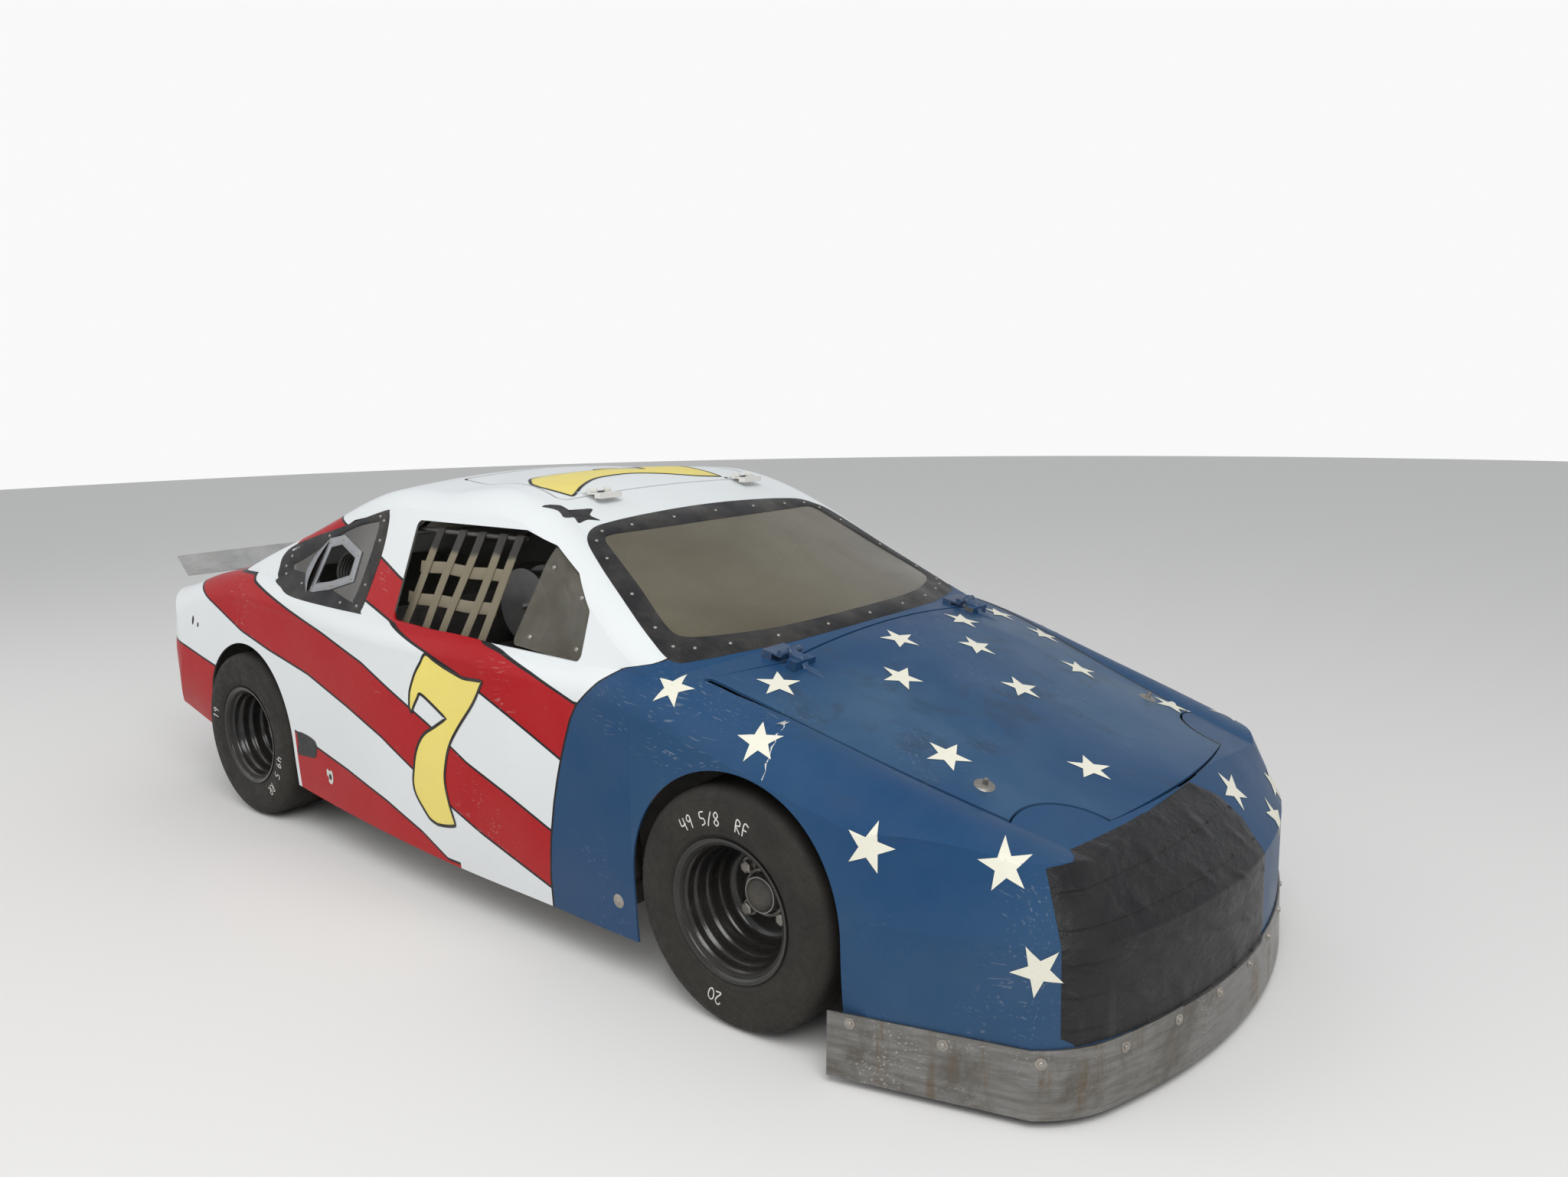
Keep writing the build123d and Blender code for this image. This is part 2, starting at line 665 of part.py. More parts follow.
# Front hubs, which turn on the knuckles' spindles, with the lug studs and nuts
spindle_radius = 12
hub_flange_radius = 64
hub_flange_thickness = 7
hub_nose = 24
stud_radius = 5.5
nut_radius = 9
nut_height = 9


def hub_solid(disc_y):
    """A hub on the Y axis, its flange behind the rim's disc and its nose through the disc."""
    back = disc_y - disc_thickness - hub_flange_thickness
    rod((0, back, 0), (0, back + hub_flange_thickness, 0), hub_flange_radius)
    rod((0, back, 0), (0, disc_y + hub_nose, 0), hub_radius)
    for k in range(lug_count):
        angle = radians(45 + 360 / lug_count * k)
        lug_x, lug_z = lug_circle_radius * cos(angle), lug_circle_radius * sin(angle)
        rod((lug_x, back, lug_z), (lug_x, disc_y + nut_height + 3, lug_z), stud_radius)
        rod((lug_x, disc_y, lug_z), (lug_x, disc_y + nut_height, lug_z), nut_radius)


front_disc_y = front_rim_face_y - dish_depth
front_hub_back_y = front_disc_y - disc_thickness - hub_flange_thickness
for side, hand in ((1, "left"), (-1, "right")):
    with BuildPart() as hub:
        hub_solid(front_disc_y)
        rod((0, front_hub_back_y - 1, 0), (0, front_disc_y + hub_nose - 6, 0), spindle_radius + 0.4, Mode.SUBTRACT)
    turned = hub.part if side > 0 else hub.part.mirror(Plane.XZ)
    hub.part = turned.moved(Location((F, 0, axle_z)))
    finish(hub, f"hub_front_{hand}")

# Rear axle: one live shaft with a hub at each end, the sprocket and the brake disc
axle_radius = 16
sprocket_radius = 82
sprocket_y = -115
brake_y = 115
brake_radius = 78
sprocket_teeth = 30
rear_disc_y = rear_rim_face_y - dish_depth
with BuildPart() as rear_axle:
    rod((0, -rear_disc_y - hub_nose - 8, 0), (0, rear_disc_y + hub_nose + 8, 0), axle_radius)
    hub_solid(rear_disc_y)
    rod((0, brake_y - 3, 0), (0, brake_y + 3, 0), brake_radius)
    rod((0, brake_y - 14, 0), (0, brake_y + 14, 0), 28)
    rod((0, sprocket_y - 3, 0), (0, sprocket_y + 3, 0), sprocket_radius)
    rod((0, sprocket_y - 14, 0), (0, sprocket_y + 14, 0), 28)
    with Locations(Location((0, sprocket_y, 0), (90, 0, 0))):
        with PolarLocations(sprocket_radius + 1.5, sprocket_teeth):
            Cylinder(5.2, 10, mode=Mode.SUBTRACT)
        with PolarLocations(sprocket_radius * 0.62, 6):
            Cylinder(11, 10, mode=Mode.SUBTRACT)
with BuildPart() as far_hub:
    hub_solid(rear_disc_y)
with BuildPart() as rear_axle_whole:
    add(rear_axle.part)
    add(far_hub.part.mirror(Plane.XZ))
rear_axle_whole.part = rear_axle_whole.part.moved(Location((R, 0, axle_z)))
finish(rear_axle_whole, "rear_axle")

# Front beam axle with a boss at each end for the kingpin
ear_offset = 32               # height of a knuckle's ears above and below the axle's centre
ear_thickness = 10
ear_radius = 18
boss_radius = 13
boss_half = ear_offset - ear_thickness / 2 - knuckle_gap
with BuildPart() as front_axle:
    rod((F, -kingpin_y + 22, axle_z), (F, kingpin_y - 22, axle_z), axle_tube_radius)
    for side in (-1, 1):
        y = side * kingpin_y
        rod((F, side * (kingpin_y - 24), axle_z), (F, side * (kingpin_y - 4), axle_z), 11)
        rod((F, y, axle_z - boss_half), (F, y, axle_z + boss_half), boss_radius)
        rod((F, y, axle_z - 60), (F, y, axle_z + 60), kingpin_radius + 0.4, Mode.SUBTRACT)
finish(front_axle, "front_axle")

# Knuckles: two ears and a pin round the boss, a plate, the spindle and the steering arm
plate_inner_y = kingpin_y + boss_radius + 6
plate_outer_y = front_hub_back_y - knuckle_gap
arm_eye_x = F - steer_arm_length
arm_eye_y = kingpin_y - steer_arm_inset
arm_thickness = 8
rod_end_radius = 9
arm_bottom_z = axle_z - ear_offset - ear_thickness / 2
for side, hand in ((1, "left"), (-1, "right")):
    with BuildPart() as knuckle:
        for up in (-1, 1):
            z = axle_z + up * ear_offset
            rod((F, kingpin_y, z - ear_thickness / 2), (F, kingpin_y, z + ear_thickness / 2), ear_radius)
            block((F - ear_radius, kingpin_y, z - ear_thickness / 2),
                  (F + ear_radius, plate_outer_y, z + ear_thickness / 2))
        block((F - ear_radius, plate_inner_y, arm_bottom_z),
              (F + ear_radius, plate_outer_y, axle_z + ear_offset + ear_thickness / 2))
        rod((F, kingpin_y, arm_bottom_z - 4), (F, kingpin_y, axle_z + ear_offset + ear_thickness), kingpin_radius)
        rod((F, plate_inner_y, axle_z), (F, front_disc_y + hub_nose - 10, axle_z), spindle_radius)
        with BuildSketch(Plane.XY.offset(arm_bottom_z)):
            with BuildLine():
                Polyline((F, kingpin_y + 11), (F, kingpin_y - 11), (arm_eye_x, arm_eye_y - 9),
                         (arm_eye_x, arm_eye_y + 9), close=True)
            make_face()
        extrude(amount=arm_thickness)
        rod((arm_eye_x, arm_eye_y, arm_bottom_z), (arm_eye_x, arm_eye_y, arm_bottom_z + arm_thickness), rod_end_radius)
        rod((arm_eye_x, arm_eye_y, arm_bottom_z - 5), (arm_eye_x, arm_eye_y, arm_bottom_z + 20), 5, Mode.SUBTRACT)
    if side < 0:
        knuckle.part = knuckle.part.mirror(Plane.XZ)
    finish(knuckle, f"knuckle_{hand}")

# Tie rod, the rack housing it slides through, and the steering shaft with its wheel
rod_end_thickness = 12
tie_rod_z = arm_bottom_z + arm_thickness + 3 + rod_end_thickness / 2
tie_rod_radius = 7
with BuildPart() as tie_rod:
    rod((arm_eye_x, -arm_eye_y + 8, tie_rod_z), (arm_eye_x, arm_eye_y - 8, tie_rod_z), tie_rod_radius)
    for side in (-1, 1):
        y = side * arm_eye_y
        rod((arm_eye_x, y, tie_rod_z - rod_end_thickness / 2), (arm_eye_x, y, tie_rod_z + rod_end_thickness / 2),
            rod_end_radius)
        rod((arm_eye_x, y, tie_rod_z - 10), (arm_eye_x, y, tie_rod_z + 10), 5, Mode.SUBTRACT)
finish(tie_rod, "tie_rod")

shaft_radius = 9
wheel_centre = Vector(F + steering_wheel_x, driver_y, steering_wheel_z)
rack_centre = Vector(arm_eye_x, driver_y, tie_rod_z)
shaft_direction = (rack_centre - wheel_centre).normalized()
tower_near = rack_centre - shaft_direction * 26
tower_far = rack_centre - shaft_direction * 62
with BuildPart() as steering_rack:
    rod((arm_eye_x, driver_y - 85, tie_rod_z), (arm_eye_x, driver_y + 45, tie_rod_z), 22)
    rod(tuple(rack_centre), tuple(tower_far), 17)
    rod((arm_eye_x, driver_y - 90, tie_rod_z), (arm_eye_x, driver_y + 50, tie_rod_z), tie_rod_radius + 0.6, Mode.SUBTRACT)
    rod(tuple(tower_near), tuple(tower_far - shaft_direction * 5), shaft_radius + 0.6, Mode.SUBTRACT)
    block((arm_eye_x - 20, driver_y - 80, rail_bottom_z + rail_size), (arm_eye_x + 20, driver_y - 60, tie_rod_z - 15))
    block((arm_eye_x - 20, driver_y + 20, rail_bottom_z + rail_size), (arm_eye_x + 20, driver_y + 40, tie_rod_z - 15))
    block((arm_eye_x - 20, driver_y - 100, rail_bottom_z + rail_size),
          (arm_eye_x + 20, rail_y + rail_size / 2, rail_bottom_z + rail_size + 4))
finish(steering_rack, "steering_rack")

wheel_plane = Plane(origin=wheel_centre, x_dir=(0, 1, 0), z_dir=shaft_direction)
grip_radius = 10
spoke_radius = 6
spoke_count = 3
wheel_boss_radius = 34
wheel_boss_half = 7
with BuildPart() as steering_wheel:
    with Locations(Location(wheel_plane)):
        Torus(steering_wheel_radius, grip_radius)
        Cylinder(wheel_boss_radius, 2 * wheel_boss_half)
    for k in range(spoke_count):
        angle = radians(90 + 360 / spoke_count * k)
        along = wheel_plane.x_dir * cos(angle) + wheel_plane.y_dir * sin(angle)
        rod(tuple(wheel_centre), tuple(wheel_centre + along * (steering_wheel_radius - 3)), spoke_radius)
finish(steering_wheel, "steering_wheel")

with BuildPart() as steering_shaft:
    rod(tuple(wheel_centre + shaft_direction * wheel_boss_half), tuple(tower_near - shaft_direction * 3), shaft_radius)
    rod(tuple(wheel_centre + shaft_direction * wheel_boss_half), tuple(wheel_centre + shaft_direction * 34), 20)
finish(steering_shaft, "steering_shaft")

# Frame: square tubes that meet end to face. Long rails first, then the cross rails between and outside them.
rail_top_z = rail_bottom_z + rail_size
half_rail = rail_size / 2
rail_middle_z = rail_bottom_z + half_rail
rail_front_x = F + 330
rail_rear_x = tail_x + 170
side_rail_y = 430
side_rail_front_x = F - 300
hoop_x = F - 1030
shock_hoop_x = F + 60
shock_hoop_z = 425
eye_thickness = 8
eye_radius = 12
eye_rim = 10
eye_reach = 16                # from a cross rail's outer face to the middle of its eye
strut_radius = 8
skin_reach_y = 560            # struts run on past the skin and are cut back to its inner face

with BuildPart() as frame_rails:
    for side in (-1, 1):
        block((rail_rear_x + rail_size, side * rail_y - half_rail, rail_bottom_z),
              (rail_front_x - rail_size, side * rail_y + half_rail, rail_top_z))
        block((hoop_x + half_rail, side * side_rail_y - half_rail, rail_bottom_z),
              (side_rail_front_x - half_rail, side * side_rail_y + half_rail, rail_top_z))
finish(frame_rails, "frame_rails")

with BuildPart() as cross_rails:
    for x in (rail_front_x - half_rail, rail_rear_x + half_rail):
        block((x - half_rail, -rail_y - half_rail, rail_bottom_z), (x + half_rail, rail_y + half_rail, rail_top_z))
    for x in (side_rail_front_x, hoop_x):
        for low_y, high_y in (
            (-side_rail_y - half_rail, -rail_y - half_rail), (-rail_y + half_rail, rail_y - half_rail),
            (rail_y + half_rail, side_rail_y + half_rail),
        ):
            block((x - half_rail, low_y, rail_bottom_z), (x + half_rail, high_y, rail_top_z))
finish(cross_rails, "cross_rails")

# Struts out to the skins of the nose, the sides and the tail, the hoop over the front axle that carries
# the front springs, and a tie-down eye on the middle of each end cross rail
with BuildPart() as frame_struts:
    for side in (-1, 1):
        rod((rail_front_x - half_rail, side * rail_y, rail_middle_z), (nose_lip_x + 40, side * 175, 186), strut_radius)
        rod((rail_rear_x + half_rail, side * rail_y, rail_middle_z), (tail_x - 40, side * rail_y, 345), strut_radius)
        for x in (F - 420, F - 860):
            rod((x, side * side_rail_y, rail_middle_z), (x, side * skin_reach_y, rail_middle_z), strut_radius)
    add(body_inner, mode=Mode.INTERSECT)
    bent_tube(
        [(shock_hoop_x, -rail_y, rail_top_z), (shock_hoop_x, -rail_y, shock_hoop_z),
         (shock_hoop_x, rail_y, shock_hoop_z), (shock_hoop_x, rail_y, rail_top_z)],
        cage_bend, cage_radius)
    for x, direction in ((rail_front_x, 1), (rail_rear_x, -1)):
        eye_x = x + direction * eye_reach
        rod((eye_x, -eye_thickness / 2, rail_middle_z), (eye_x, eye_thickness / 2, rail_middle_z), eye_radius + eye_rim)
        block((min(x, eye_x), -eye_thickness / 2, rail_bottom_z), (max(x, eye_x), eye_thickness / 2, rail_top_z))
        rod((eye_x, -rail_size, rail_middle_z), (eye_x, rail_size, rail_middle_z), eye_radius, Mode.SUBTRACT)
    add(frame_rails.part, mode=Mode.SUBTRACT)
    add(cross_rails.part, mode=Mode.SUBTRACT)
finish(frame_struts, "frame_struts")

# Roll cage
cage_foot_z = rail_top_z
a_bend_z = 505
cage_front_x = F - 555
cage_front_y = 322
cage_front_z = 742
hoop_shoulder_z = 530
hoop_top_y = 350
hoop_top_z = 762
stay_rear_x = R - 230
cross_x = R + 45
net_bar_z = 488
net_rod_y = 381
net_rod_z = 724
net_rod_radius = 5
net_arm_radius = 4


def on_stay(x):
    """Distance out and height of a rear stay at a place along the car."""
    share = (hoop_x - x) / (hoop_x - stay_rear_x)
    return hoop_top_y - 18 + (rail_y - hoop_top_y + 18) * share, hoop_top_z - 22 + (rail_top_z - hoop_top_z + 22) * share


def on_roof_bar(x):
    """Distance out and height of a roof bar at a place along the car."""
    share = (cage_front_x - x) / (cage_front_x - hoop_x)
    near_y, far_y = cage_front_y - 30, hoop_top_y - 20
    return near_y + (far_y - near_y) * share, cage_front_z + (hoop_top_z - cage_front_z) * share


with BuildPart() as roll_cage:
    bent_tube(
        [(side_rail_front_x, -side_rail_y, cage_foot_z), (side_rail_front_x, -side_rail_y, a_bend_z),
         (cage_front_x, -cage_front_y, cage_front_z), (cage_front_x, cage_front_y, cage_front_z),
         (side_rail_front_x, side_rail_y, a_bend_z), (side_rail_front_x, side_rail_y, cage_foot_z)],
        cage_bend, cage_radius)
    bent_tube(
        [(hoop_x, -side_rail_y, cage_foot_z), (hoop_x, -side_rail_y, hoop_shoulder_z),
         (hoop_x, -hoop_top_y, hoop_top_z), (hoop_x, hoop_top_y, hoop_top_z),
         (hoop_x, side_rail_y, hoop_shoulder_z), (hoop_x, side_rail_y, cage_foot_z)],
        cage_bend, cage_radius)
finish(roll_cage, "roll_cage")

# Bars between the hoops, cut to the tubes they meet: door bars, roof bars with the net rods, cross bars,
# and the rear stays, cut level where they stand on the rails
door_bar_heights = (270, 380, net_bar_z)
front_bar_z = 435
rear_bar_z = 412
with BuildPart() as cage_bars:
    for side in (-1, 1):
        stay_y, stay_z = on_stay(hoop_x)
        foot_x = stay_rear_x - 12
        foot_y, foot_z = on_stay(foot_x)
        rod((hoop_x, side * stay_y, stay_z), (foot_x, side * foot_y, foot_z), stay_radius)
    block((rail_rear_x, -skin_reach_y, 0), (rail_front_x, skin_reach_y, rail_top_z), Mode.SUBTRACT)
    cross_y, cross_z = on_stay(cross_x)
    rod((cross_x, -cross_y, cross_z), (cross_x, cross_y, cross_z), bar_radius)
    for side in (-1, 1):
        rod((cage_front_x, side * (cage_front_y - 30), cage_front_z), (hoop_x, side * (hoop_top_y - 20), hoop_top_z),
            stay_radius)
        for z in door_bar_heights:
            rod((side_rail_front_x, side * side_rail_y, z), (hoop_x, side * side_rail_y, z), bar_radius)
        rod((F - 965, side * net_rod_y, net_rod_z), (F - 615, side * net_rod_y, net_rod_z), net_rod_radius)
        for x in (F - 950, F - 630):
            arm_y, arm_z = on_roof_bar(x)
            rod((x, side * net_rod_y, net_rod_z), (x, side * arm_y, arm_z), net_arm_radius)
    rod((side_rail_front_x, -side_rail_y, front_bar_z), (side_rail_front_x, side_rail_y, front_bar_z), bar_radius)
    rod((hoop_x, -side_rail_y, rear_bar_z), (hoop_x, side_rail_y, rear_bar_z), bar_radius)
    add(roll_cage.part, mode=Mode.SUBTRACT)
finish(cage_bars, "cage_bars")

# Floor, firewall, dash and rear bulkhead
floor_rear_x = hoop_x - 60
floor_front_x = side_rail_front_x + 10
floor_half_y = side_rail_y + half_rail
with BuildPart() as floor_pan:
    block((floor_rear_x, -floor_half_y, rail_bottom_z - floor_thickness), (floor_front_x, floor_half_y, rail_bottom_z))
finish(floor_pan, "floor_pan")

sheet = 2
firewall_x = side_rail_front_x - 30
firewall_half_y = 405
firewall_top_z = 500
shaft_slope = (wheel_centre.Z - rack_centre.Z) / (rack_centre.X - wheel_centre.X)
shaft_at_firewall = wheel_centre.Z - shaft_slope * (firewall_x - wheel_centre.X)
bulkhead_x = hoop_x - 45
with BuildPart() as bulkheads:
    block((firewall_x - sheet, -firewall_half_y, rail_top_z), (firewall_x, firewall_half_y, firewall_top_z))
    rod((firewall_x - 40, driver_y, shaft_at_firewall), (firewall_x + 40, driver_y, shaft_at_firewall), 22, Mode.SUBTRACT)
    block((bulkhead_x - sheet, -390, rail_top_z), (bulkhead_x, 390, 545))
finish(bulkheads, "bulkheads")

dash_x = F - 400
dash_half_y = 385
with BuildPart() as dash_panel:
    with BuildSketch(Plane.XZ.offset(-dash_half_y)):
        with BuildLine():
            Polyline((dash_x, 420), (dash_x - 14, 532), (dash_x + 68, 548), (dash_x + 68, 548 - sheet),
                     (dash_x - 14 + sheet, 532 - sheet), (dash_x + sheet, 420), close=True)
        make_face()
    extrude(amount=2 * dash_half_y)
finish(dash_panel, "dash_panel")

# Seat: a bent shell between two shaped sides
seat_width = 310
seat_wall = 5
seat_front = (F - 700, 216)
seat_low = (F - 935, 164)
seat_top = (F - 996, 640)
with BuildPart() as seat:
    with BuildSketch(Plane.XZ.offset(-(driver_y + seat_width / 2))):
        with BuildLine() as back_line:
            FilletPolyline(seat_front, seat_low, seat_top, radius=70)
        trace(back_line.line, line_width=seat_wall)
    extrude(amount=seat_width)
    for y in (driver_y - seat_width / 2, driver_y + seat_width / 2 - seat_wall):
        with BuildSketch(Plane.XZ.offset(-y - seat_wall)):
            with BuildLine():
                FilletPolyline(
                    (seat_front[0], seat_front[1] - 2), (seat_low[0] - 6, seat_low[1] + 2),
                    (seat_top[0] + 10, seat_top[1] - 60), (seat_top[0] + 130, seat_top[1] - 190),
                    (seat_low[0] + 110, seat_low[1] + 150), (seat_front[0], seat_front[1] + 90),
                    radius=24, close=True)
            make_face()
        extrude(amount=seat_wall)
    block((F - 900, driver_y - 120, rail_top_z), (F - 870, driver_y + 120, seat_low[1] + 12))
    block((F - 740, driver_y - 120, rail_top_z), (F - 715, driver_y + 120, seat_front[1] - 9))
finish(seat, "seat")

# Engine as one plain block beside the driver, and the round air cleaner over it
engine_low = (F - 950, -325, rail_top_z)
engine_high = (F - 590, -40, 455)
with BuildPart() as engine:
    block(engine_low, engine_high)
    chamfer(engine.edges().filter_by(Axis.Z), length=30)
    chamfer(engine.faces().sort_by(Axis.Z)[-1].edges(), length=20)
finish(engine, "engine")

cleaner_x = F - 725
cleaner_z = 572
cleaner_face_y = -302
cleaner_radius = 77
cleaner_depth = 62
with BuildPart() as air_cleaner:
    rod((cleaner_x, cleaner_face_y, cleaner_z), (cleaner_x, cleaner_face_y + 8, cleaner_z), cleaner_radius)
    rod((cleaner_x, cleaner_face_y + 8, cleaner_z), (cleaner_x, cleaner_face_y + cleaner_depth - 8, cleaner_z),
        cleaner_radius - 9)
    rod((cleaner_x, cleaner_face_y + cleaner_depth - 8, cleaner_z),
        (cleaner_x, cleaner_face_y + cleaner_depth, cleaner_z), cleaner_radius)
    rod((cleaner_x, cleaner_face_y - 9, cleaner_z), (cleaner_x, cleaner_face_y, cleaner_z), 6)
    rod((cleaner_x, cleaner_face_y + cleaner_depth - 2, cleaner_z),
        (cleaner_x, cleaner_face_y + cleaner_depth + 50, cleaner_z), 24)
    rod((cleaner_x, cleaner_face_y + cleaner_depth + 26, cleaner_z),
        (cleaner_x, cleaner_face_y + cleaner_depth + 26, engine_high[2]), 24)
finish(air_cleaner, "air_cleaner")

# Spring units: each a body, a fatter coil and two eyes
shock_radius = 12
coil_radius = 22


def spring_unit(low, high):
    """A coil-over unit between two eyes, the coil standing for its outer shape."""
    low, high = Vector(*low), Vector(*high)
    run = high - low
    rod(tuple(low), tuple(high), shock_radius)
    rod(tuple(low + run * 0.22), tuple(low + run * 0.82), coil_radius)


carrier_inner_y = rail_y - 6
with BuildPart() as spring_units:
    for side in (-1, 1):
        low = (F + 30, side * 272, axle_z + 14)
        high = (shock_hoop_x - 1, side * (rail_y + 34), shock_hoop_z - cage_bend - 5)
        spring_unit(low, high)
        rod((F + 16, side * 272, axle_z + 8), (F + 34, side * 272, axle_z + 16), 9)
        rod(high, (shock_hoop_x, side * (rail_y + 4), shock_hoop_z - cage_bend - 5), 9)
        rod((shock_hoop_x, side * rail_y, rail_top_z), (shock_hoop_x, side * rail_y, shock_hoop_z - 20), cage_radius,
            Mode.SUBTRACT)
        low = (cross_x, side * 184, axle_z - 22)
        high = (cross_x, side * 184, cross_z)
        spring_unit(low, high)
        rod((cross_x, side * 184, axle_z - 22), (cross_x, side * carrier_inner_y, axle_z - 22), 9)
    rod((F, -kingpin_y, axle_z), (F, kingpin_y, axle_z), axle_tube_radius, Mode.SUBTRACT)
    rod((cross_x, -cross_y, cross_z), (cross_x, cross_y, cross_z), bar_radius, Mode.SUBTRACT)
finish(spring_units, "spring_units")

with BuildPart() as axle_carriers:
    for side in (-1, 1):
        rod((R, side * carrier_inner_y, axle_z), (R, side * (carrier_inner_y + 12), axle_z), 42)
        block((R - 34, min(side * carrier_inner_y, side * (carrier_inner_y + 12)), rail_top_z),
              (R + 60, max(side * carrier_inner_y, side * (carrier_inner_y + 12)), axle_z))
        rod((R, side * (carrier_inner_y - 8), axle_z), (R, side * (carrier_inner_y + 20), axle_z), 30)
        rod((R, side * (carrier_inner_y - 40), axle_z), (R, side * (carrier_inner_y + 40), axle_z),
            axle_radius + 0.4, Mode.SUBTRACT)
finish(axle_carriers, "axle_carriers")

# Window nets: flat webbing straps between a bar and a rod of the cage, five up and down and two along
strap_width = 24
strap_thickness = 2
net_clearance = 0.4
net_low_y = side_rail_y + bar_radius + net_clearance
net_high_y = net_rod_y + net_rod_radius + net_clearance
strap_low_x = (F - 987, F - 912, F - 852, F - 780, F - 727)
strap_high_x = (F - 879, F - 810, F - 750, F - 681, F - 630)


def net_y(z):
    """Distance of the net's inner face from the middle of the car."""
    return net_low_y + (net_high_y - net_low_y) * (z - net_bar_z) / (net_rod_z - net_bar_z)


for side, hand in ((1, "left"), (-1, "right")):
    with BuildPart() as window_net:
        for low_x, high_x in zip(strap_low_x, strap_high_x):
            ends = []
            for x, z in ((low_x, net_bar_z), (high_x, net_rod_z)):
                with BuildSketch(Plane.XY.offset(z), mode=Mode.PRIVATE) as end:
                    with Locations((x + strap_width / 2, net_y(z) + strap_thickness / 2)):
                        Rectangle(strap_width, strap_thickness)
                ends.append(end.sketch)
            loft(sections=ends, ruled=True)
        for z, rear_x, front_x in ((575, F - 955, F - 665), (640, F - 925, F - 640)):
            with BuildSketch(Plane.YZ.offset(rear_x)):
                with BuildLine():
                    Polyline((net_y(z), z), (net_y(z + strap_width), z + strap_width),
                             (net_y(z + strap_width) - strap_thickness, z + strap_width),
                             (net_y(z) - strap_thickness, z), close=True)
                make_face()
            extrude(amount=front_x - rear_x)
    if side < 0:
        window_net.part = window_net.part.mirror(Plane.XZ)
    finish(window_net, f"window_net_{hand}")

# Wing panes at the front of the open side windows, held against the inner face of the pillars
wing_outline = [(F - 352, 533), (F - 560, 545), (F - 520, 690), (F - 498, 730), (F - 418, 686), (F - 358, 620)]
with BuildPart() as wing_windows:
    add(roof_inner)
    add(greenhouse_solid(wall + glass_thickness, 30), mode=Mode.SUBTRACT)
    add(rounded_prism(Plane.XZ, wing_outline, 10, -600, 600), mode=Mode.INTERSECT)
finish(wing_windows, "wing_windows")

# Hexagonal vent frame on the right quarter window, with a round duct behind the pane
vent_x = F - 1190
vent_z = 632
vent_tilt = 20.3              # lean of the window's face, degrees
vent_radius = 62
vent_border = 20
vent_thickness = 4
duct_radius = 36
duct_wall = 3
duct_length = 80
vent_plane = Plane(origin=(vent_x, -425, vent_z), x_dir=(1, 0, 0),
                   z_dir=(0, -cos(radians(vent_tilt)), sin(radians(vent_tilt))))
with BuildPart() as window_vent:
    with BuildSketch(vent_plane.offset(-duct_length)):
        RegularPolygon(vent_radius, 6)
        RegularPolygon(vent_radius - vent_border, 6, mode=Mode.SUBTRACT)
    extrude(amount=2 * duct_length)
    add(greenhouse_solid(-vent_thickness, 0), mode=Mode.INTERSECT)
    add(roof_outer, mode=Mode.SUBTRACT)
finish(window_vent, "window_vent")

with BuildPart() as vent_duct:
    with BuildSketch(vent_plane.offset(-duct_length)):
        Circle(duct_radius)
    extrude(amount=duct_length + 20)
    with BuildSketch(vent_plane.offset(-duct_length + duct_wall)):
        Circle(duct_radius - duct_wall)
    extrude(amount=duct_length + 20, mode=Mode.SUBTRACT)
    add(roof_glass_inner, mode=Mode.INTERSECT)
finish(vent_duct, "vent_duct")
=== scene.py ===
import json
import math

import bmesh
import bpy
import numpy as np
from mathutils import Matrix, Vector


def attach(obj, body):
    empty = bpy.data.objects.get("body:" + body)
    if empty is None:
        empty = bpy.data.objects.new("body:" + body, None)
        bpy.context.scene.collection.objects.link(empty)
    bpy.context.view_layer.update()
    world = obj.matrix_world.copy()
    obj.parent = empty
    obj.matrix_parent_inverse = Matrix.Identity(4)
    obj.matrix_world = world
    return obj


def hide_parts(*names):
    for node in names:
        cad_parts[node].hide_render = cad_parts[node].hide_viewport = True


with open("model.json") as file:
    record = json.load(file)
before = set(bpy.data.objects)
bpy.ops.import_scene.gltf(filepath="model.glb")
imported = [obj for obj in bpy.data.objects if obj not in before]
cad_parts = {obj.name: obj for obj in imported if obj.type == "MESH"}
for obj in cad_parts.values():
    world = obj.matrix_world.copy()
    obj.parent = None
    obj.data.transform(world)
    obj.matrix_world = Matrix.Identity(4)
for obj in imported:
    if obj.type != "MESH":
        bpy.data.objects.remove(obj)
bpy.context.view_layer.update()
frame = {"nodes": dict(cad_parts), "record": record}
nodes = frame["nodes"]
scene = bpy.context.scene
scene.view_settings.view_transform = "Standard"

# camera, at the photograph's viewing angle

camera = {
    "place": (1.886, -1.783, 0.999),
    "yaw": 129.37,          # degrees from +X
    "pitch": 9.71,          # degrees down
    "roll": -1.13,
    "focalPixels": 1545.8,
    "imageWidth": 2048,
    "sensor": 36.0,
}


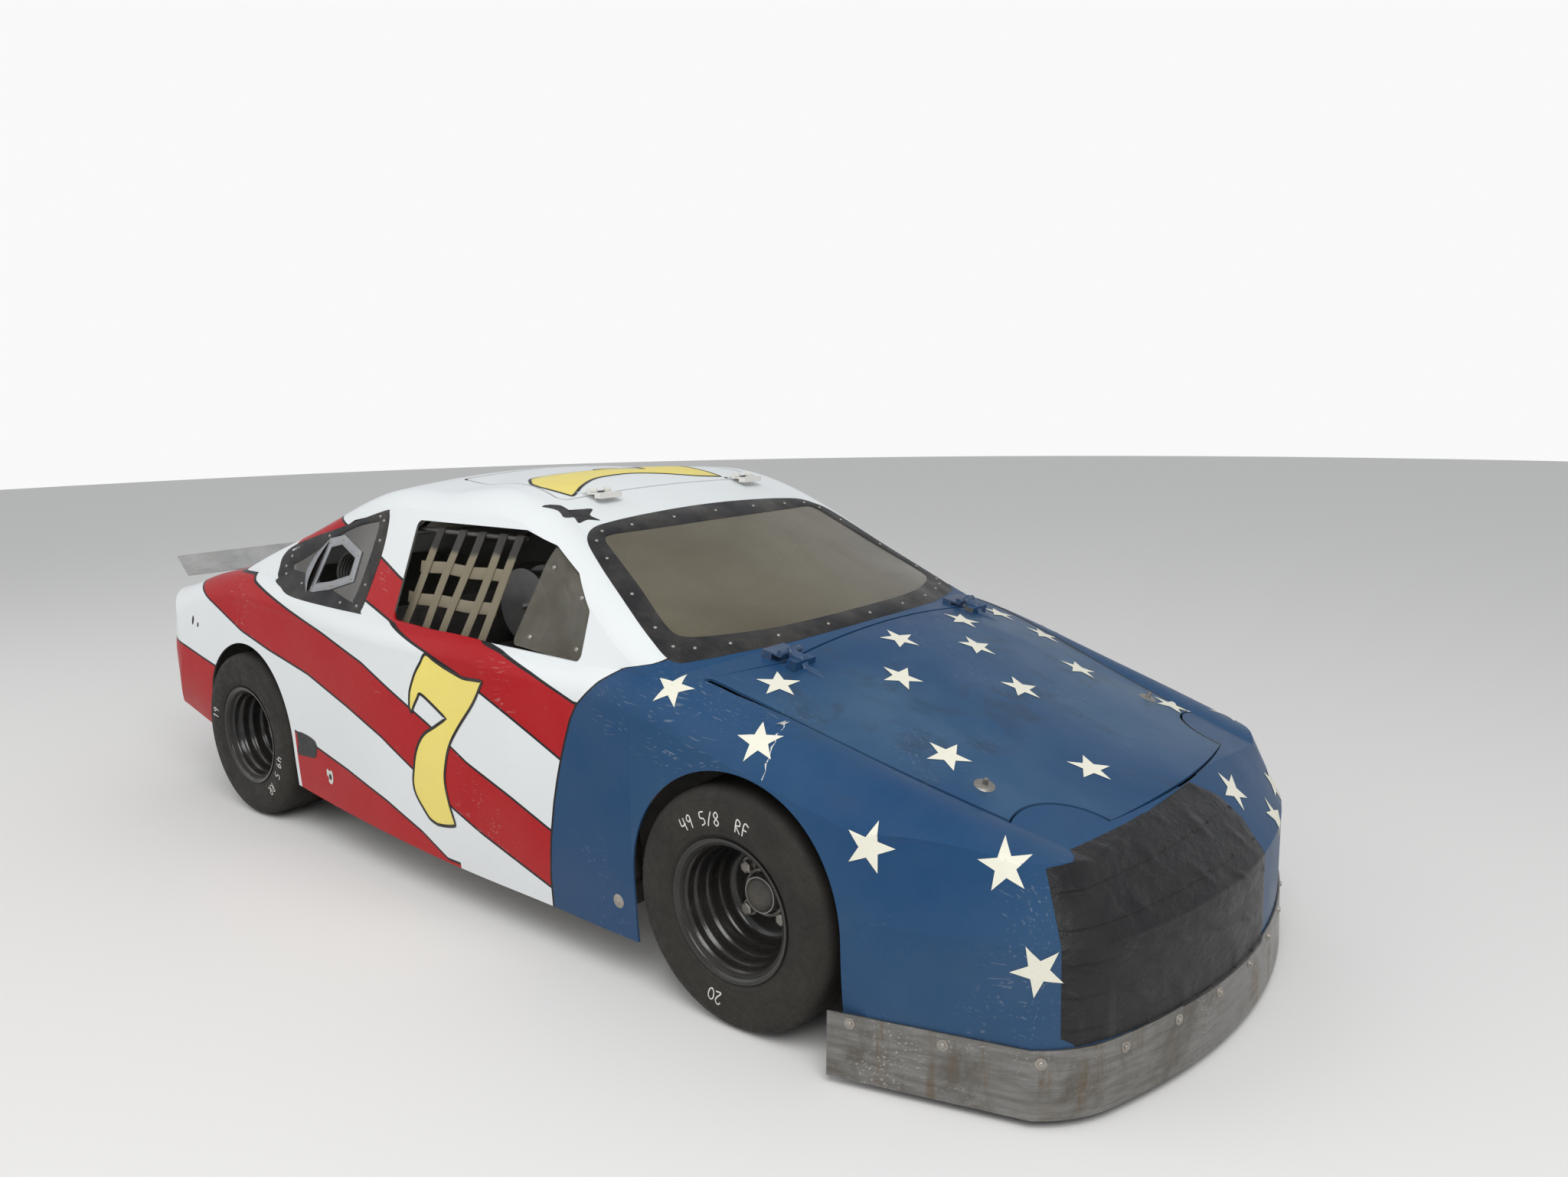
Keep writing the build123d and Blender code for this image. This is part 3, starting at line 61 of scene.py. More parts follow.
def placeCamera(values):
    # forward from yaw and pitch, right = forward x up, then both turned by the roll
    yaw, pitch, roll = (math.radians(values[key]) for key in ("yaw", "pitch", "roll"))
    forward = Vector((math.cos(pitch) * math.cos(yaw), math.cos(pitch) * math.sin(yaw), -math.sin(pitch)))
    right = forward.cross(Vector((0, 0, 1))).normalized()
    up = right.cross(forward)
    turnedRight = right * math.cos(roll) + up * math.sin(roll)
    turnedUp = up * math.cos(roll) - right * math.sin(roll)
    lens = bpy.data.cameras.new("photoCamera")
    lens.sensor_width = values["sensor"]
    lens.lens = values["focalPixels"] * values["sensor"] / values["imageWidth"]
    lens.clip_end = 60
    holder = bpy.data.objects.new("photoCamera", lens)
    holder.matrix_world = Matrix((
        (turnedRight.x, turnedUp.x, -forward.x, values["place"][0]),
        (turnedRight.y, turnedUp.y, -forward.y, values["place"][1]),
        (turnedRight.z, turnedUp.z, -forward.z, values["place"][2]),
        (0, 0, 0, 1)))
    scene.collection.objects.link(holder)
    scene.camera = holder


placeCamera(camera)
print("camera placed")

# mesh helpers: a part is a pair of arrays, vertices and quads


def gridPart(grid, loopRows=False, loopColumns=False):
    # grid[i, j] is a point; a face joins each four neighbours, wrapped round where a loop is asked
    rows, columns = grid.shape[:2]
    i, j = np.meshgrid(np.arange(rows - (not loopRows)), np.arange(columns - (not loopColumns)), indexing="ij")
    nextRow, nextColumn = (i + 1) % rows, (j + 1) % columns
    faces = np.stack([i * columns + j, nextRow * columns + j,
                      nextRow * columns + nextColumn, i * columns + nextColumn], -1).reshape(-1, 4)
    return grid.reshape(-1, 3), faces


def ruleGrid(first, second, share):
    # straight lines between two rows of points, at the given shares of the way
    share = np.asarray(share)[None, :, None]
    return first[:, None] * (1 - share) + second[:, None] * share


def capGrid(grid, first, last):
    # a point ahead of a grid's first row and one behind its last close a tube's ends
    shape = (1, grid.shape[1], 1)
    return np.concatenate([np.tile(first, shape), grid, np.tile(last, shape)])


def joinParts(parts):
    # stacks the vertices and shifts each part's face numbers by the vertices before it
    counts = np.cumsum([0] + [len(vertices) for vertices, faces in parts[:-1]])
    return (np.concatenate([vertices for vertices, faces in parts]),
            np.concatenate([faces + first for (vertices, faces), first in zip(parts, counts)]))


def repeatPart(part, frames):
    # frames is n x 4 x 4: every vertex times every matrix
    vertices, faces = part
    placed = np.einsum("nij,vj->nvi", frames[:, :3, :3], vertices) + frames[:, None, :3, 3]
    shifted = faces[None] + (np.arange(len(frames)) * len(vertices))[:, None, None]
    return placed.reshape(-1, 3), shifted.reshape(-1, 4)


def axisFrame(axis):
    # two unit vectors square to the axis, and the axis
    frameZ = np.asarray(axis, float) / np.linalg.norm(axis)
    seed = np.array([0.0, 0, 1]) if abs(frameZ[2]) < 0.9 else np.array([1.0, 0, 0])
    frameX = np.cross(seed, frameZ)
    frameX /= np.linalg.norm(frameX)
    return frameX, np.cross(frameZ, frameX), frameZ


def turnPart(profile, segments, centre=(0, 0, 0), axis=(0, 0, 1), start=0.0, sweep=2 * math.pi, closed=False):
    # profile rows are (radius, height along the axis), turned about it; an open sweep ends in a point each side
    profile = np.asarray(profile, float)
    frameX, frameY, frameZ = axisFrame(axis)
    full = abs(sweep - 2 * math.pi) < 1e-6
    angle = start + np.linspace(0, sweep, segments, endpoint=not full)
    rows = np.tile(profile, (len(angle), 1, 1))
    if not full:
        middle = profile.mean(0)
        rows, angle = capGrid(rows, middle, middle), np.concatenate([angle[:1], angle, angle[-1:]])
    ring = np.cos(angle)[:, None] * frameX + np.sin(angle)[:, None] * frameY
    grid = np.asarray(centre) + ring[:, None] * rows[..., :1] + frameZ * rows[..., 1:]
    return gridPart(grid, loopRows=full, loopColumns=closed)


def placeFrames(points, normals, scale=1.0):
    # matrices that carry a part's +Z to each normal at each point
    normals = np.asarray(normals, float)
    normals = normals / np.linalg.norm(normals, axis=1)[:, None]
    seed = np.where(np.abs(normals[:, 2:]) < 0.9, [[0.0, 0, 1]], [[1.0, 0, 0]])
    side = np.cross(seed, normals)
    side /= np.linalg.norm(side, axis=1)[:, None]
    frames = np.tile(np.eye(4), (len(normals), 1, 1))
    frames[:, :3, 0] = side * scale
    frames[:, :3, 1] = np.cross(normals, side) * scale
    frames[:, :3, 2] = normals * scale
    frames[:, :3, 3] = points
    return frames


def orientPart(part, outward):
    # turns a part's faces round where they look against the outward direction
    vertices, faces = part
    corners = vertices[faces]
    normals = np.cross(corners[:, 2] - corners[:, 0], corners[:, 3] - corners[:, 1])
    return (vertices, faces[:, ::-1]) if (normals @ np.asarray(outward, float)).sum() < 0 else part


def buildPiece(name, part, material, body, sharpAngle=None, uv=None):
    # doubles at seams and poles are merged, and the faces of a closed piece turned outwards
    vertices, faces = part
    mesh = bpy.data.meshes.new(name)
    mesh.from_pydata(vertices.tolist(), [], faces.tolist())
    if uv is not None:
        mesh.uv_layers.new(name="along").data.foreach_set("uv", uv[faces.ravel()].ravel())
    work = bmesh.new()
    work.from_mesh(mesh)
    bmesh.ops.remove_doubles(work, verts=work.verts, dist=2e-6)
    if all(edge.is_manifold for edge in work.edges):
        bmesh.ops.recalc_face_normals(work, faces=work.faces)
    work.to_mesh(mesh)
    work.free()
    mesh.materials.append(material)
    mesh.polygons.foreach_set("use_smooth", np.ones(len(mesh.polygons), bool))
    if sharpAngle:
        mesh.set_sharp_from_angle(angle=math.radians(sharpAngle))
    piece = bpy.data.objects.new(name, mesh)
    scene.collection.objects.link(piece)
    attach(piece, body)
    return piece


# shader helpers


class NodeDesk:
    # short calls for adding and joining nodes in one tree

    def __init__(self, tree):
        self.tree = tree

    def add(self, kind, inputs=(), **settings):
        # inputs says what goes into which socket, by its name or number
        node = self.tree.nodes.new(kind)
        for key, value in settings.items():
            setattr(node, key, value)
        for key, value in dict(inputs).items():
            self.join(value, node.inputs[key])
        return node

    def join(self, source, target):
        if isinstance(source, (int, float, tuple)):
            target.default_value = source
        else:
            self.tree.links.new(source, target)

    def math(self, operation, first, second=0.0, clamp=False):
        return self.add("ShaderNodeMath", {0: first, 1: second}, operation=operation, use_clamp=clamp).outputs[0]

    def times(self, first, second, **options):
        return self.math("MULTIPLY", first, second, **options)

    def plus(self, first, second, **options):
        return self.math("ADD", first, second, **options)

    def minus(self, first, second):
        return self.math("SUBTRACT", first, second)

    def vector(self, operation, inputs):
        return self.add("ShaderNodeVectorMath", inputs, operation=operation).outputs

    def mix(self, factor, first, second):
        return self.add("ShaderNodeMix", {0: factor, 6: first, 7: second}, data_type="RGBA").outputs[2]

    def ramp(self, value, low, high, fromValue=0.0, toValue=1.0, kind="SMOOTHSTEP"):
        inputs = {"Value": value, "From Min": low, "From Max": high, "To Min": fromValue, "To Max": toValue}
        return self.add("ShaderNodeMapRange", inputs, interpolation_type=kind).outputs["Result"]

    def noise(self, vector, scale, detail=3.0, rough=0.55, distortion=0.0):
        inputs = {"Vector": vector, "Scale": scale, "Detail": detail, "Roughness": rough, "Distortion": distortion}
        return self.add("ShaderNodeTexNoise", inputs).outputs["Fac"]

    def stretch(self, vector, scale, turn=(0.0, 0.0, 0.0)):
        return self.add("ShaderNodeMapping", {"Vector": vector, "Rotation": turn, "Scale": scale}).outputs["Vector"]

    def objectPlace(self):
        return self.add("ShaderNodeTexCoord").outputs["Object"]

    def split(self, vector):
        return self.add("ShaderNodeSeparateXYZ", {0: vector}).outputs

    def curve(self, value, points, domain, span):
        # a Float Curve through points, given in metres over the domain, put out in metres over the span
        node = self.add("ShaderNodeFloatCurve")
        low, high = domain
        places = [((a - low) / (high - low), (b - span[0]) / (span[1] - span[0])) for a, b in sorted(points)]
        line = node.mapping.curves[0]
        while len(line.points) < len(places):
            line.points.new(0.5, 0.5)
        for point, (a, b) in zip(line.points, places):
            point.location = (a, b)
            point.handle_type = "VECTOR"
        node.mapping.extend = "HORIZONTAL"
        node.mapping.update()
        self.join(self.ramp(value, low, high, kind="LINEAR"), node.inputs["Value"])
        return self.plus(self.times(node.outputs["Value"], span[1] - span[0]), span[0])


def newGroup(name, inputs, outputs):
    # inputs and outputs are (name, socket kind, default) rows
    tree = bpy.data.node_groups.new(name, "ShaderNodeTree")
    for direction, rows in (("INPUT", inputs), ("OUTPUT", outputs)):
        for label, kind, value in rows:
            socket = tree.interface.new_socket(label, in_out=direction, socket_type="NodeSocket" + kind)
            if value is not None:
                socket.default_value = value
    desk = NodeDesk(tree)
    return tree, desk, desk.add("NodeGroupInput").outputs, desk.add("NodeGroupOutput").inputs


def useGroup(desk, tree, **values):
    # names are the group's inputs with the spaces left out
    node = desk.add("ShaderNodeGroup", node_tree=tree)
    for socket in node.inputs:
        key = socket.name.replace(" ", "")
        key = key[:1].lower() + key[1:]
        if key in values:
            desk.join(values[key], socket)
    return node.outputs


def newMaterial(name):
    material = bpy.data.materials.new(name)
    material.use_nodes = True
    tree = material.node_tree
    shader = tree.nodes["Principled BSDF"]
    return material, NodeDesk(tree), shader.inputs


def addBump(desk, sockets, height, strength, distance):
    node = desk.add("ShaderNodeBump", {"Strength": strength, "Distance": distance, "Height": height})
    desk.join(node.outputs["Normal"], sockets["Normal"])


# effects that several materials share

dustTree, desk, given, out = newGroup(
    "roadDust",
    [("Colour", "Color", (0.5, 0.5, 0.5, 1)), ("Dust Colour", "Color", (0.42, 0.37, 0.3, 1)),
     ("Amount", "Float", 0.3), ("Patch Scale", "Float", 7.0), ("Fade Height", "Float", 0.45)],
    [("Colour", "Color", None), ("Mask", "Float", None)])
place = desk.objectPlace()
height = desk.split(place)[2]
patches = desk.ramp(desk.noise(place, given["Patch Scale"], 6.0, 0.65), 0.35, 0.75)
grains = desk.noise(place, 260.0, 2.0)
low = desk.minus(1.0, desk.math("DIVIDE", height, given["Fade Height"], clamp=True))
film = desk.plus(desk.times(patches, 0.55), desk.times(low, 0.7))
film = desk.times(film, desk.ramp(grains, 0.2, 0.7, 0.7, 1.2))
film = desk.times(film, given["Amount"], clamp=True)
desk.join(desk.mix(film, given["Colour"], given["Dust Colour"]), out["Colour"])
desk.join(film, out["Mask"])

scratchTree, desk, given, out = newGroup(
    "fineScratches",
    [("Amount", "Float", 0.5), ("Scale", "Float", 18.0)],
    [("Mask", "Float", None)])
place = desk.objectPlace()
wobble = desk.add("ShaderNodeTexNoise", {"Vector": place, "Scale": 3.0}).outputs["Color"]
bent = desk.vector("ADD", {0: place, 1: desk.vector("SCALE", {0: wobble, "Scale": 0.12})[0]})[0]
lines = None
for turn in (0.5, 1.9, 2.7):
    stroke = desk.noise(desk.stretch(bent, (1.0, 26.0, 9.0), turn=(0.3, turn, turn)), given["Scale"], 2.0)
    stroke = desk.ramp(stroke, 0.655, 0.7)
    lines = stroke if lines is None else desk.math("MAXIMUM", lines, stroke)
gate = desk.ramp(desk.noise(place, 5.0, 3.0), 0.5, 0.68)
desk.join(desk.times(desk.times(lines, gate), given["Amount"]), out["Mask"])

wearTree, desk, given, out = newGroup(
    "edgeWear",
    [("Width", "Float", 0.003), ("Amount", "Float", 0.6), ("Break Up", "Float", 90.0)],
    [("Mask", "Float", None)])
rounded = desk.add("ShaderNodeBevel", {"Radius": given["Width"]}, samples=4).outputs["Normal"]
plain = desk.add("ShaderNodeNewGeometry").outputs["Normal"]
edge = desk.ramp(desk.minus(1.0, desk.vector("DOT_PRODUCT", {0: rounded, 1: plain})["Value"]), 0.01, 0.12)
chips = desk.ramp(desk.noise(desk.objectPlace(), given["Break Up"], 4.0, 0.7), 0.42, 0.58)
desk.join(desk.times(desk.times(edge, chips), given["Amount"], clamp=True), out["Mask"])

streakTree, desk, given, out = newGroup(
    "dripStreaks",
    [("Scale", "Float", 30.0), ("Amount", "Float", 0.5)],
    [("Mask", "Float", None)])
place = desk.objectPlace()
runs = desk.noise(desk.stretch(place, (1.0, 1.0, 0.07)), given["Scale"], 4.0, 0.6)
spots = desk.noise(place, 9.0, 3.0)
mask = desk.times(desk.ramp(runs, 0.5, 0.72), desk.ramp(spots, 0.4, 0.62))
desk.join(desk.times(mask, given["Amount"], clamp=True), out["Mask"])
print("shared effects ready")

# the livery: stripe edges are height against length, the blue front is length against height, in metres

livery = {
    "middleUpper": [(-1.3, 0.585), (-0.84, 0.585), (-0.815, 0.572), (-0.623, 0.529), (-0.462, 0.495), (-0.296, 0.454),
                    (-0.198, 0.418), (-0.051, 0.366), (0.068, 0.314), (0.19, 0.277), (0.309, 0.237)],
    "middleLower": [(-1.3, 0.585), (-1.1, 0.54), (-1.022, 0.512), (-0.858, 0.452), (-0.726, 0.424), (-0.537, 0.395),
                    (-0.365, 0.351), (-0.231, 0.311), (-0.118, 0.266), (0.01, 0.214), (0.099, 0.183), (0.296, 0.127)],
    "upperUpper": [(-0.62, 0.76), (-0.319, 0.663), (-0.226, 0.628), (0.093, 0.541), (0.149, 0.533), (0.255, 0.509),
                   (0.334, 0.488), (0.376, 0.476)],
    "upperLower": [(-0.62, 0.66), (-0.334, 0.573), (-0.231, 0.546), (-0.059, 0.508), (0.037, 0.482), (0.112, 0.455),
                   (0.2, 0.424), (0.277, 0.396), (0.342, 0.372)],
    "lowerUpper": [(-0.62, 0.25), (-0.525, 0.232), (-0.385, 0.209), (-0.227, 0.175), (-0.103, 0.138), (-0.02, 0.1)],
    "tailUpper": [(-1.35, 0.42), (-1.146, 0.377), (-1.078, 0.361), (-0.98, 0.34)],
    "blueEdge": [(0.08, 0.296), (0.151, 0.298), (0.222, 0.307), (0.293, 0.321), (0.33, 0.33), (0.367, 0.34),
                 (0.412, 0.354), (0.448, 0.366), (0.475, 0.381), (0.495, 0.402), (0.52, 0.428), (0.543, 0.463),
                 (0.557, 0.53), (0.6, 0.56)],
    # upper edge, lower edge, and the lengths that the band starts and stops at
    "bands": [("middleUpper", "middleLower", -1.3, None), ("upperUpper", "upperLower", -0.70, None),
              ("lowerUpper", None, -0.625, 0.02), ("tailUpper", None, None, -0.85)],
    "edge": 0.0009,          # softness of a painted edge
    "pinLine": 0.0022,       # half width of the black line along the edges
    "white": (0.72, 0.745, 0.75, 1),
    "red": (0.40, 0.0025, 0.007, 1),
    "blue": (0.0085, 0.046, 0.125, 1),
    "black": (0.01, 0.01, 0.012, 1),
}
lengthDomain, heightDomain = (-1.4, 1.4), (0.0, 0.9)


def makeLiveryGroup():
    # a band is over its lower edge and under its upper; a line is near either edge; blue is ahead of its edge
    tree, desk, given, out = newGroup(
        "liveryBands", [],
        [("Red", "Float", None), ("Blue", "Float", None), ("Line", "Float", None)])
    x, y, z = desk.split(desk.objectPlace())
    soft, pin = livery["edge"], livery["pinLine"]

    def over(value, edge):
        return desk.ramp(desk.minus(value, edge), -soft, soft)

    def near(value, edge):
        gap = desk.math("ABSOLUTE", desk.minus(value, edge))
        return desk.ramp(gap, pin + soft, pin, 0.0, 1.0)

    def edgeAt(name):
        return desk.curve(x, livery[name], lengthDomain, heightDomain)

    red, line = None, None
    for upperName, lowerName, start, stop in livery["bands"]:
        upper = edgeAt(upperName)
        band = desk.minus(1.0, over(z, upper))
        marks = near(z, upper)
        if lowerName:
            lower = edgeAt(lowerName)
            band = desk.times(band, over(z, lower))
            marks = desk.math("MAXIMUM", marks, near(z, lower))
        gates = [] if start is None else [over(x, start)]
        gates += [] if stop is None else [desk.minus(1.0, over(x, stop))]
        gate = gates[0] if len(gates) == 1 else desk.times(*gates)
        band, marks = desk.times(band, gate), desk.times(marks, gate)
        red = band if red is None else desk.math("MAXIMUM", red, band)
        line = marks if line is None else desk.math("MAXIMUM", line, marks)
    blueFrom = desk.curve(z, livery["blueEdge"], heightDomain, lengthDomain)
    blue = over(x, blueFrom)
    behind = desk.minus(1.0, blue)
    desk.join(desk.times(red, behind), out["Red"])
    desk.join(blue, out["Blue"])
    line = desk.math("MAXIMUM", desk.times(line, behind), near(x, blueFrom))
    desk.join(line, out["Line"])
    return tree


liveryTree = makeLiveryGroup()

insideTree, desk, given, out = newGroup("insideFaces", [], [("Mask", "Float", None)])
coordinate = desk.add("ShaderNodeTexCoord").outputs
# outward is away from a line along the car's middle
outward = desk.vector("MULTIPLY_ADD", {0: coordinate["Object"], 1: (0.15, 1.0, 1.0), 2: (0.0, 0.0, -0.2)})["Vector"]
toward = desk.vector("DOT_PRODUCT", {0: coordinate["Normal"], 1: outward})["Value"]
desk.join(desk.math("LESS_THAN", toward, -0.02), out["Mask"])


def shade(colour, share, lift=0.0):
    return tuple(share * part + lift for part in colour[:3]) + (1,)


def coatWithDust(desk, sockets, tone, **values):
    # the dusty colour becomes the base colour; the mask tells how thick the dust lies
    dust = useGroup(desk, dustTree, colour=tone, **values)
    desk.join(dust["Colour"], sockets["Base Color"])
    return dust["Mask"]


def roughen(desk, sockets, value, low, high):
    desk.join(desk.ramp(value, 0.3, 0.7, low, high), sockets["Roughness"])


def makeBodyPaint(name, allBlue=False, faded=0.0):
    material, desk, sockets = newMaterial(name)
    place = desk.objectPlace()
    bands = useGroup(desk, liveryTree)
    cloud = desk.noise(place, 3.2, 4.0)
    white = desk.mix(cloud, livery["white"], (0.65, 0.675, 0.675, 1))
    red = desk.mix(cloud, livery["red"], (0.33, 0.004, 0.008, 1))
    blue = desk.mix(desk.times(cloud, 0.8), livery["blue"], (0.018, 0.066, 0.145, 1))
    if faded:
        chalky = desk.ramp(desk.noise(place, 2.1, 3.0, 0.5, 0.4), 0.35, 0.7)
        blue = desk.mix(desk.times(chalky, faded), blue, (0.045, 0.10, 0.175, 1))
        stains = desk.ramp(desk.noise(place, 9.0, 6.0, 0.7, 0.8), 0.5, 0.72, 0.0, 0.7 * faded)
        blue = desk.mix(stains, blue, (0.022, 0.040, 0.062, 1))
    if allBlue:
        colour = blue
    else:
        colour = desk.mix(bands["Red"], white, red)
        colour = desk.mix(bands["Blue"], colour, blue)
        colour = desk.mix(bands["Line"], colour, livery["black"])
    scratches = useGroup(desk, scratchTree, amount=0.4, scale=15.0)["Mask"]
    colour = desk.mix(desk.times(scratches, 0.4), colour, (0.55, 0.55, 0.53, 1))
    inside = useGroup(desk, insideTree)["Mask"]
    weave = desk.noise(place, 160.0, 2.0, 0.8)
    colour = desk.mix(inside, colour, desk.mix(weave, (0.055, 0.055, 0.05, 1), (0.15, 0.15, 0.14, 1)))
    mask = coatWithDust(desk, sockets, colour, amount=0.05, patchScale=4.0, fadeHeight=0.3)
    rough = desk.ramp(desk.noise(place, 6.0, 5.0), 0.3, 0.7, 0.28, 0.4)
    rough = desk.plus(rough, desk.times(mask, 0.5), clamp=True)
    desk.join(desk.plus(rough, desk.times(scratches, 0.2), clamp=True), sockets["Roughness"])
    ripple = desk.plus(desk.noise(place, 14.0, 2.0), desk.times(scratches, -0.05))
    addBump(desk, sockets, ripple, 0.12, 0.004)
    sockets["Specular IOR Level"].default_value = 0.12
    return material


bodyPaint = makeBodyPaint("bodyPaint")
frontPaint = makeBodyPaint("frontPaint", faded=0.25)
hoodPaint = makeBodyPaint("hoodPaint", allBlue=True, faded=0.85)
print("paint ready")

# metals, plastics, rubber and glass


def makeMetal(name, colour, roughness, grain=(1.0, 1.0, 40.0), worn=None, dustAmount=0.3, metallic=1.0):
    material, desk, sockets = newMaterial(name)
    place = desk.objectPlace()
    brush = desk.noise(desk.stretch(place, grain), 30.0, 5.0, 0.7)
    tone = desk.mix(desk.ramp(desk.noise(place, 12.0, 4.0), 0.3, 0.7), colour, shade(colour, 0.72))
    tone = desk.mix(desk.ramp(brush, 0.35, 0.65, 0.0, 0.35), tone, shade(colour, 1.2))
    if worn:
        mask = useGroup(desk, wearTree, width=worn, amount=0.8, breakUp=120.0)["Mask"]
        tone = desk.mix(mask, tone, (0.45, 0.44, 0.42, 1))
    mask = coatWithDust(desk, sockets, tone, amount=dustAmount, patchScale=9.0, fadeHeight=0.35)
    desk.join(desk.times(desk.minus(1.0, mask), metallic), sockets["Metallic"])
    rough = desk.ramp(brush, 0.3, 0.7, roughness - 0.08, roughness + 0.1)
    desk.join(desk.plus(rough, desk.times(mask, 0.4), clamp=True), sockets["Roughness"])
    addBump(desk, sockets, brush, 0.15, 0.0006)
    return material


def makePlastic(name, colour, roughness, dustAmount=0.3):
    material, desk, sockets = newMaterial(name)
    place = desk.objectPlace()
    tone = desk.mix(desk.noise(place, 8.0, 4.0), colour, shade(colour, 0.6))
    coatWithDust(desk, sockets, tone, amount=dustAmount, patchScale=8.0, fadeHeight=0.5)
    roughen(desk, sockets, desk.noise(place, 15.0, 4.0), roughness - 0.08, roughness + 0.1)
    addBump(desk, sockets, desk.noise(place, 420.0, 2.0), 0.2, 0.0004)
    sockets["Specular IOR Level"].default_value = 0.15
    return material


def makeTape(name):
    # cloth tape: fine ribs, a dull sheen, dried drips, and painted shade as a darker line under each lap
    material, desk, sockets = newMaterial(name)
    place = desk.objectPlace()
    height = desk.split(place)[2]
    lap = desk.math("FRACT", desk.math("DIVIDE", height, 0.046))
    tone = desk.mix(desk.noise(place, 11.0, 4.0), (0.006, 0.006, 0.007, 1), (0.016, 0.016, 0.018, 1))
    # painted shade: a near-black line along each lap of the tape stands in for the shade under the strip above
    tone = desk.mix(desk.ramp(lap, 0.0, 0.08, 0.9, 0.0), tone, (0.002, 0.002, 0.002, 1))
    drips = useGroup(desk, streakTree, scale=42.0, amount=0.16)["Mask"]
    tone = desk.mix(drips, tone, (0.10, 0.098, 0.09, 1))
    coatWithDust(desk, sockets, tone, amount=0.03, patchScale=12.0, fadeHeight=0.25)
    roughen(desk, sockets, desk.noise(place, 22.0, 4.0), 0.26, 0.42)
    ribs = desk.math("SINE", desk.times(height, 5200.0))
    crumple = desk.noise(desk.stretch(place, (1.0, 1.0, 2.2)), 34.0, 4.0, 0.6, 0.5)
    addBump(desk, sockets, desk.plus(crumple, desk.times(ribs, 0.03)), 0.7, 0.005)
    sockets["Specular IOR Level"].default_value = 0.28
    return material


def makeRubber(name):
    material, desk, sockets = newMaterial(name)
    place = desk.objectPlace()
    tone = desk.mix(desk.noise(place, 20.0, 5.0, 0.7), (0.011, 0.0105, 0.010, 1), (0.026, 0.024, 0.022, 1))
    coatWithDust(desk, sockets, tone, dustColour=(0.10, 0.088, 0.07, 1), amount=0.2, patchScale=16.0, fadeHeight=0.9)
    roughen(desk, sockets, desk.noise(place, 60.0, 4.0), 0.55, 0.8)
    pits = desk.plus(desk.noise(place, 240.0, 5.0, 0.75), desk.noise(place, 35.0, 3.0))
    addBump(desk, sockets, pits, 0.45, 0.0012)
    sockets["Specular IOR Level"].default_value = 0.15
    return material


def makeGlass(name, colour, transmission, roughness, dustAmount, dustColour=(0.30, 0.25, 0.185, 1), patchScale=3.0,
              mostDust=1.0, ior=1.45):
    material, desk, sockets = newMaterial(name)
    place = desk.objectPlace()
    film = desk.noise(place, patchScale, 6.0, 0.6, 0.3)
    smear = desk.noise(desk.stretch(place, (1.0, 0.2, 1.0), turn=(0.0, 0.0, 0.6)), 7.0, 4.0)
    cover = desk.ramp(desk.plus(film, desk.times(smear, 0.3)), 0.35, 0.95, dustAmount, mostDust)
    desk.join(desk.mix(cover, colour, dustColour), sockets["Base Color"])
    roughen(desk, sockets, film, roughness, roughness + 0.18)
    sockets["Transmission Weight"].default_value = transmission
    sockets["IOR"].default_value = ior
    return material


bareAluminium = makeMetal("bareAluminium", (0.56, 0.56, 0.55, 1), 0.38, grain=(1.0, 1.0, 14.0), dustAmount=0.4)
bareSteel = makeMetal("bareSteel", (0.42, 0.42, 0.42, 1), 0.4, dustAmount=0.35)
blackSteel = makeMetal("blackSteel", (0.018, 0.018, 0.019, 1), 0.38, worn=0.002, dustAmount=0.35, metallic=0.2)
wheelSteel = makeMetal("wheelSteel", (0.004, 0.004, 0.005, 1), 0.16, dustAmount=0.06, metallic=0.0)
engineCasting = makeMetal("engineCasting", (0.10, 0.10, 0.105, 1), 0.55, dustAmount=0.5, metallic=0.5)
seatSheet = makeMetal("seatSheet", (0.5, 0.5, 0.49, 1), 0.42, dustAmount=0.35)
ventMetal = makeMetal("ventMetal", (0.30, 0.31, 0.33, 1), 0.5, dustAmount=0.3, metallic=0.6)
blackTape = makeTape("blackTape")
ductPlastic = makePlastic("ductPlastic", (0.03, 0.03, 0.03, 1), 0.5, dustAmount=0.35)
gripPlastic = makePlastic("gripPlastic", (0.02, 0.02, 0.02, 1), 0.6, dustAmount=0.3)
webbing = makePlastic("webbing", (0.34, 0.29, 0.21, 1), 0.85, dustAmount=0.3)
tyreRubber = makeRubber("tyreRubber")
windshieldGlass = makeGlass("windshieldGlass", (0.30, 0.27, 0.19, 1), 0.45, 0.2, 0.55,
                            dustColour=(0.125, 0.105, 0.062, 1))
smokedGlass = makeGlass("smokedGlass", (0.30, 0.28, 0.25, 1), 0.8, 0.08, 0.2, dustColour=(0.12, 0.11, 0.095, 1),
                        mostDust=0.8)
clearGlass = makeGlass("clearGlass", (0.60, 0.58, 0.50, 1), 0.9, 0.03, 0.0, dustColour=(0.36, 0.33, 0.24, 1),
                       patchScale=9.0, mostDust=1.2, ior=1.22)


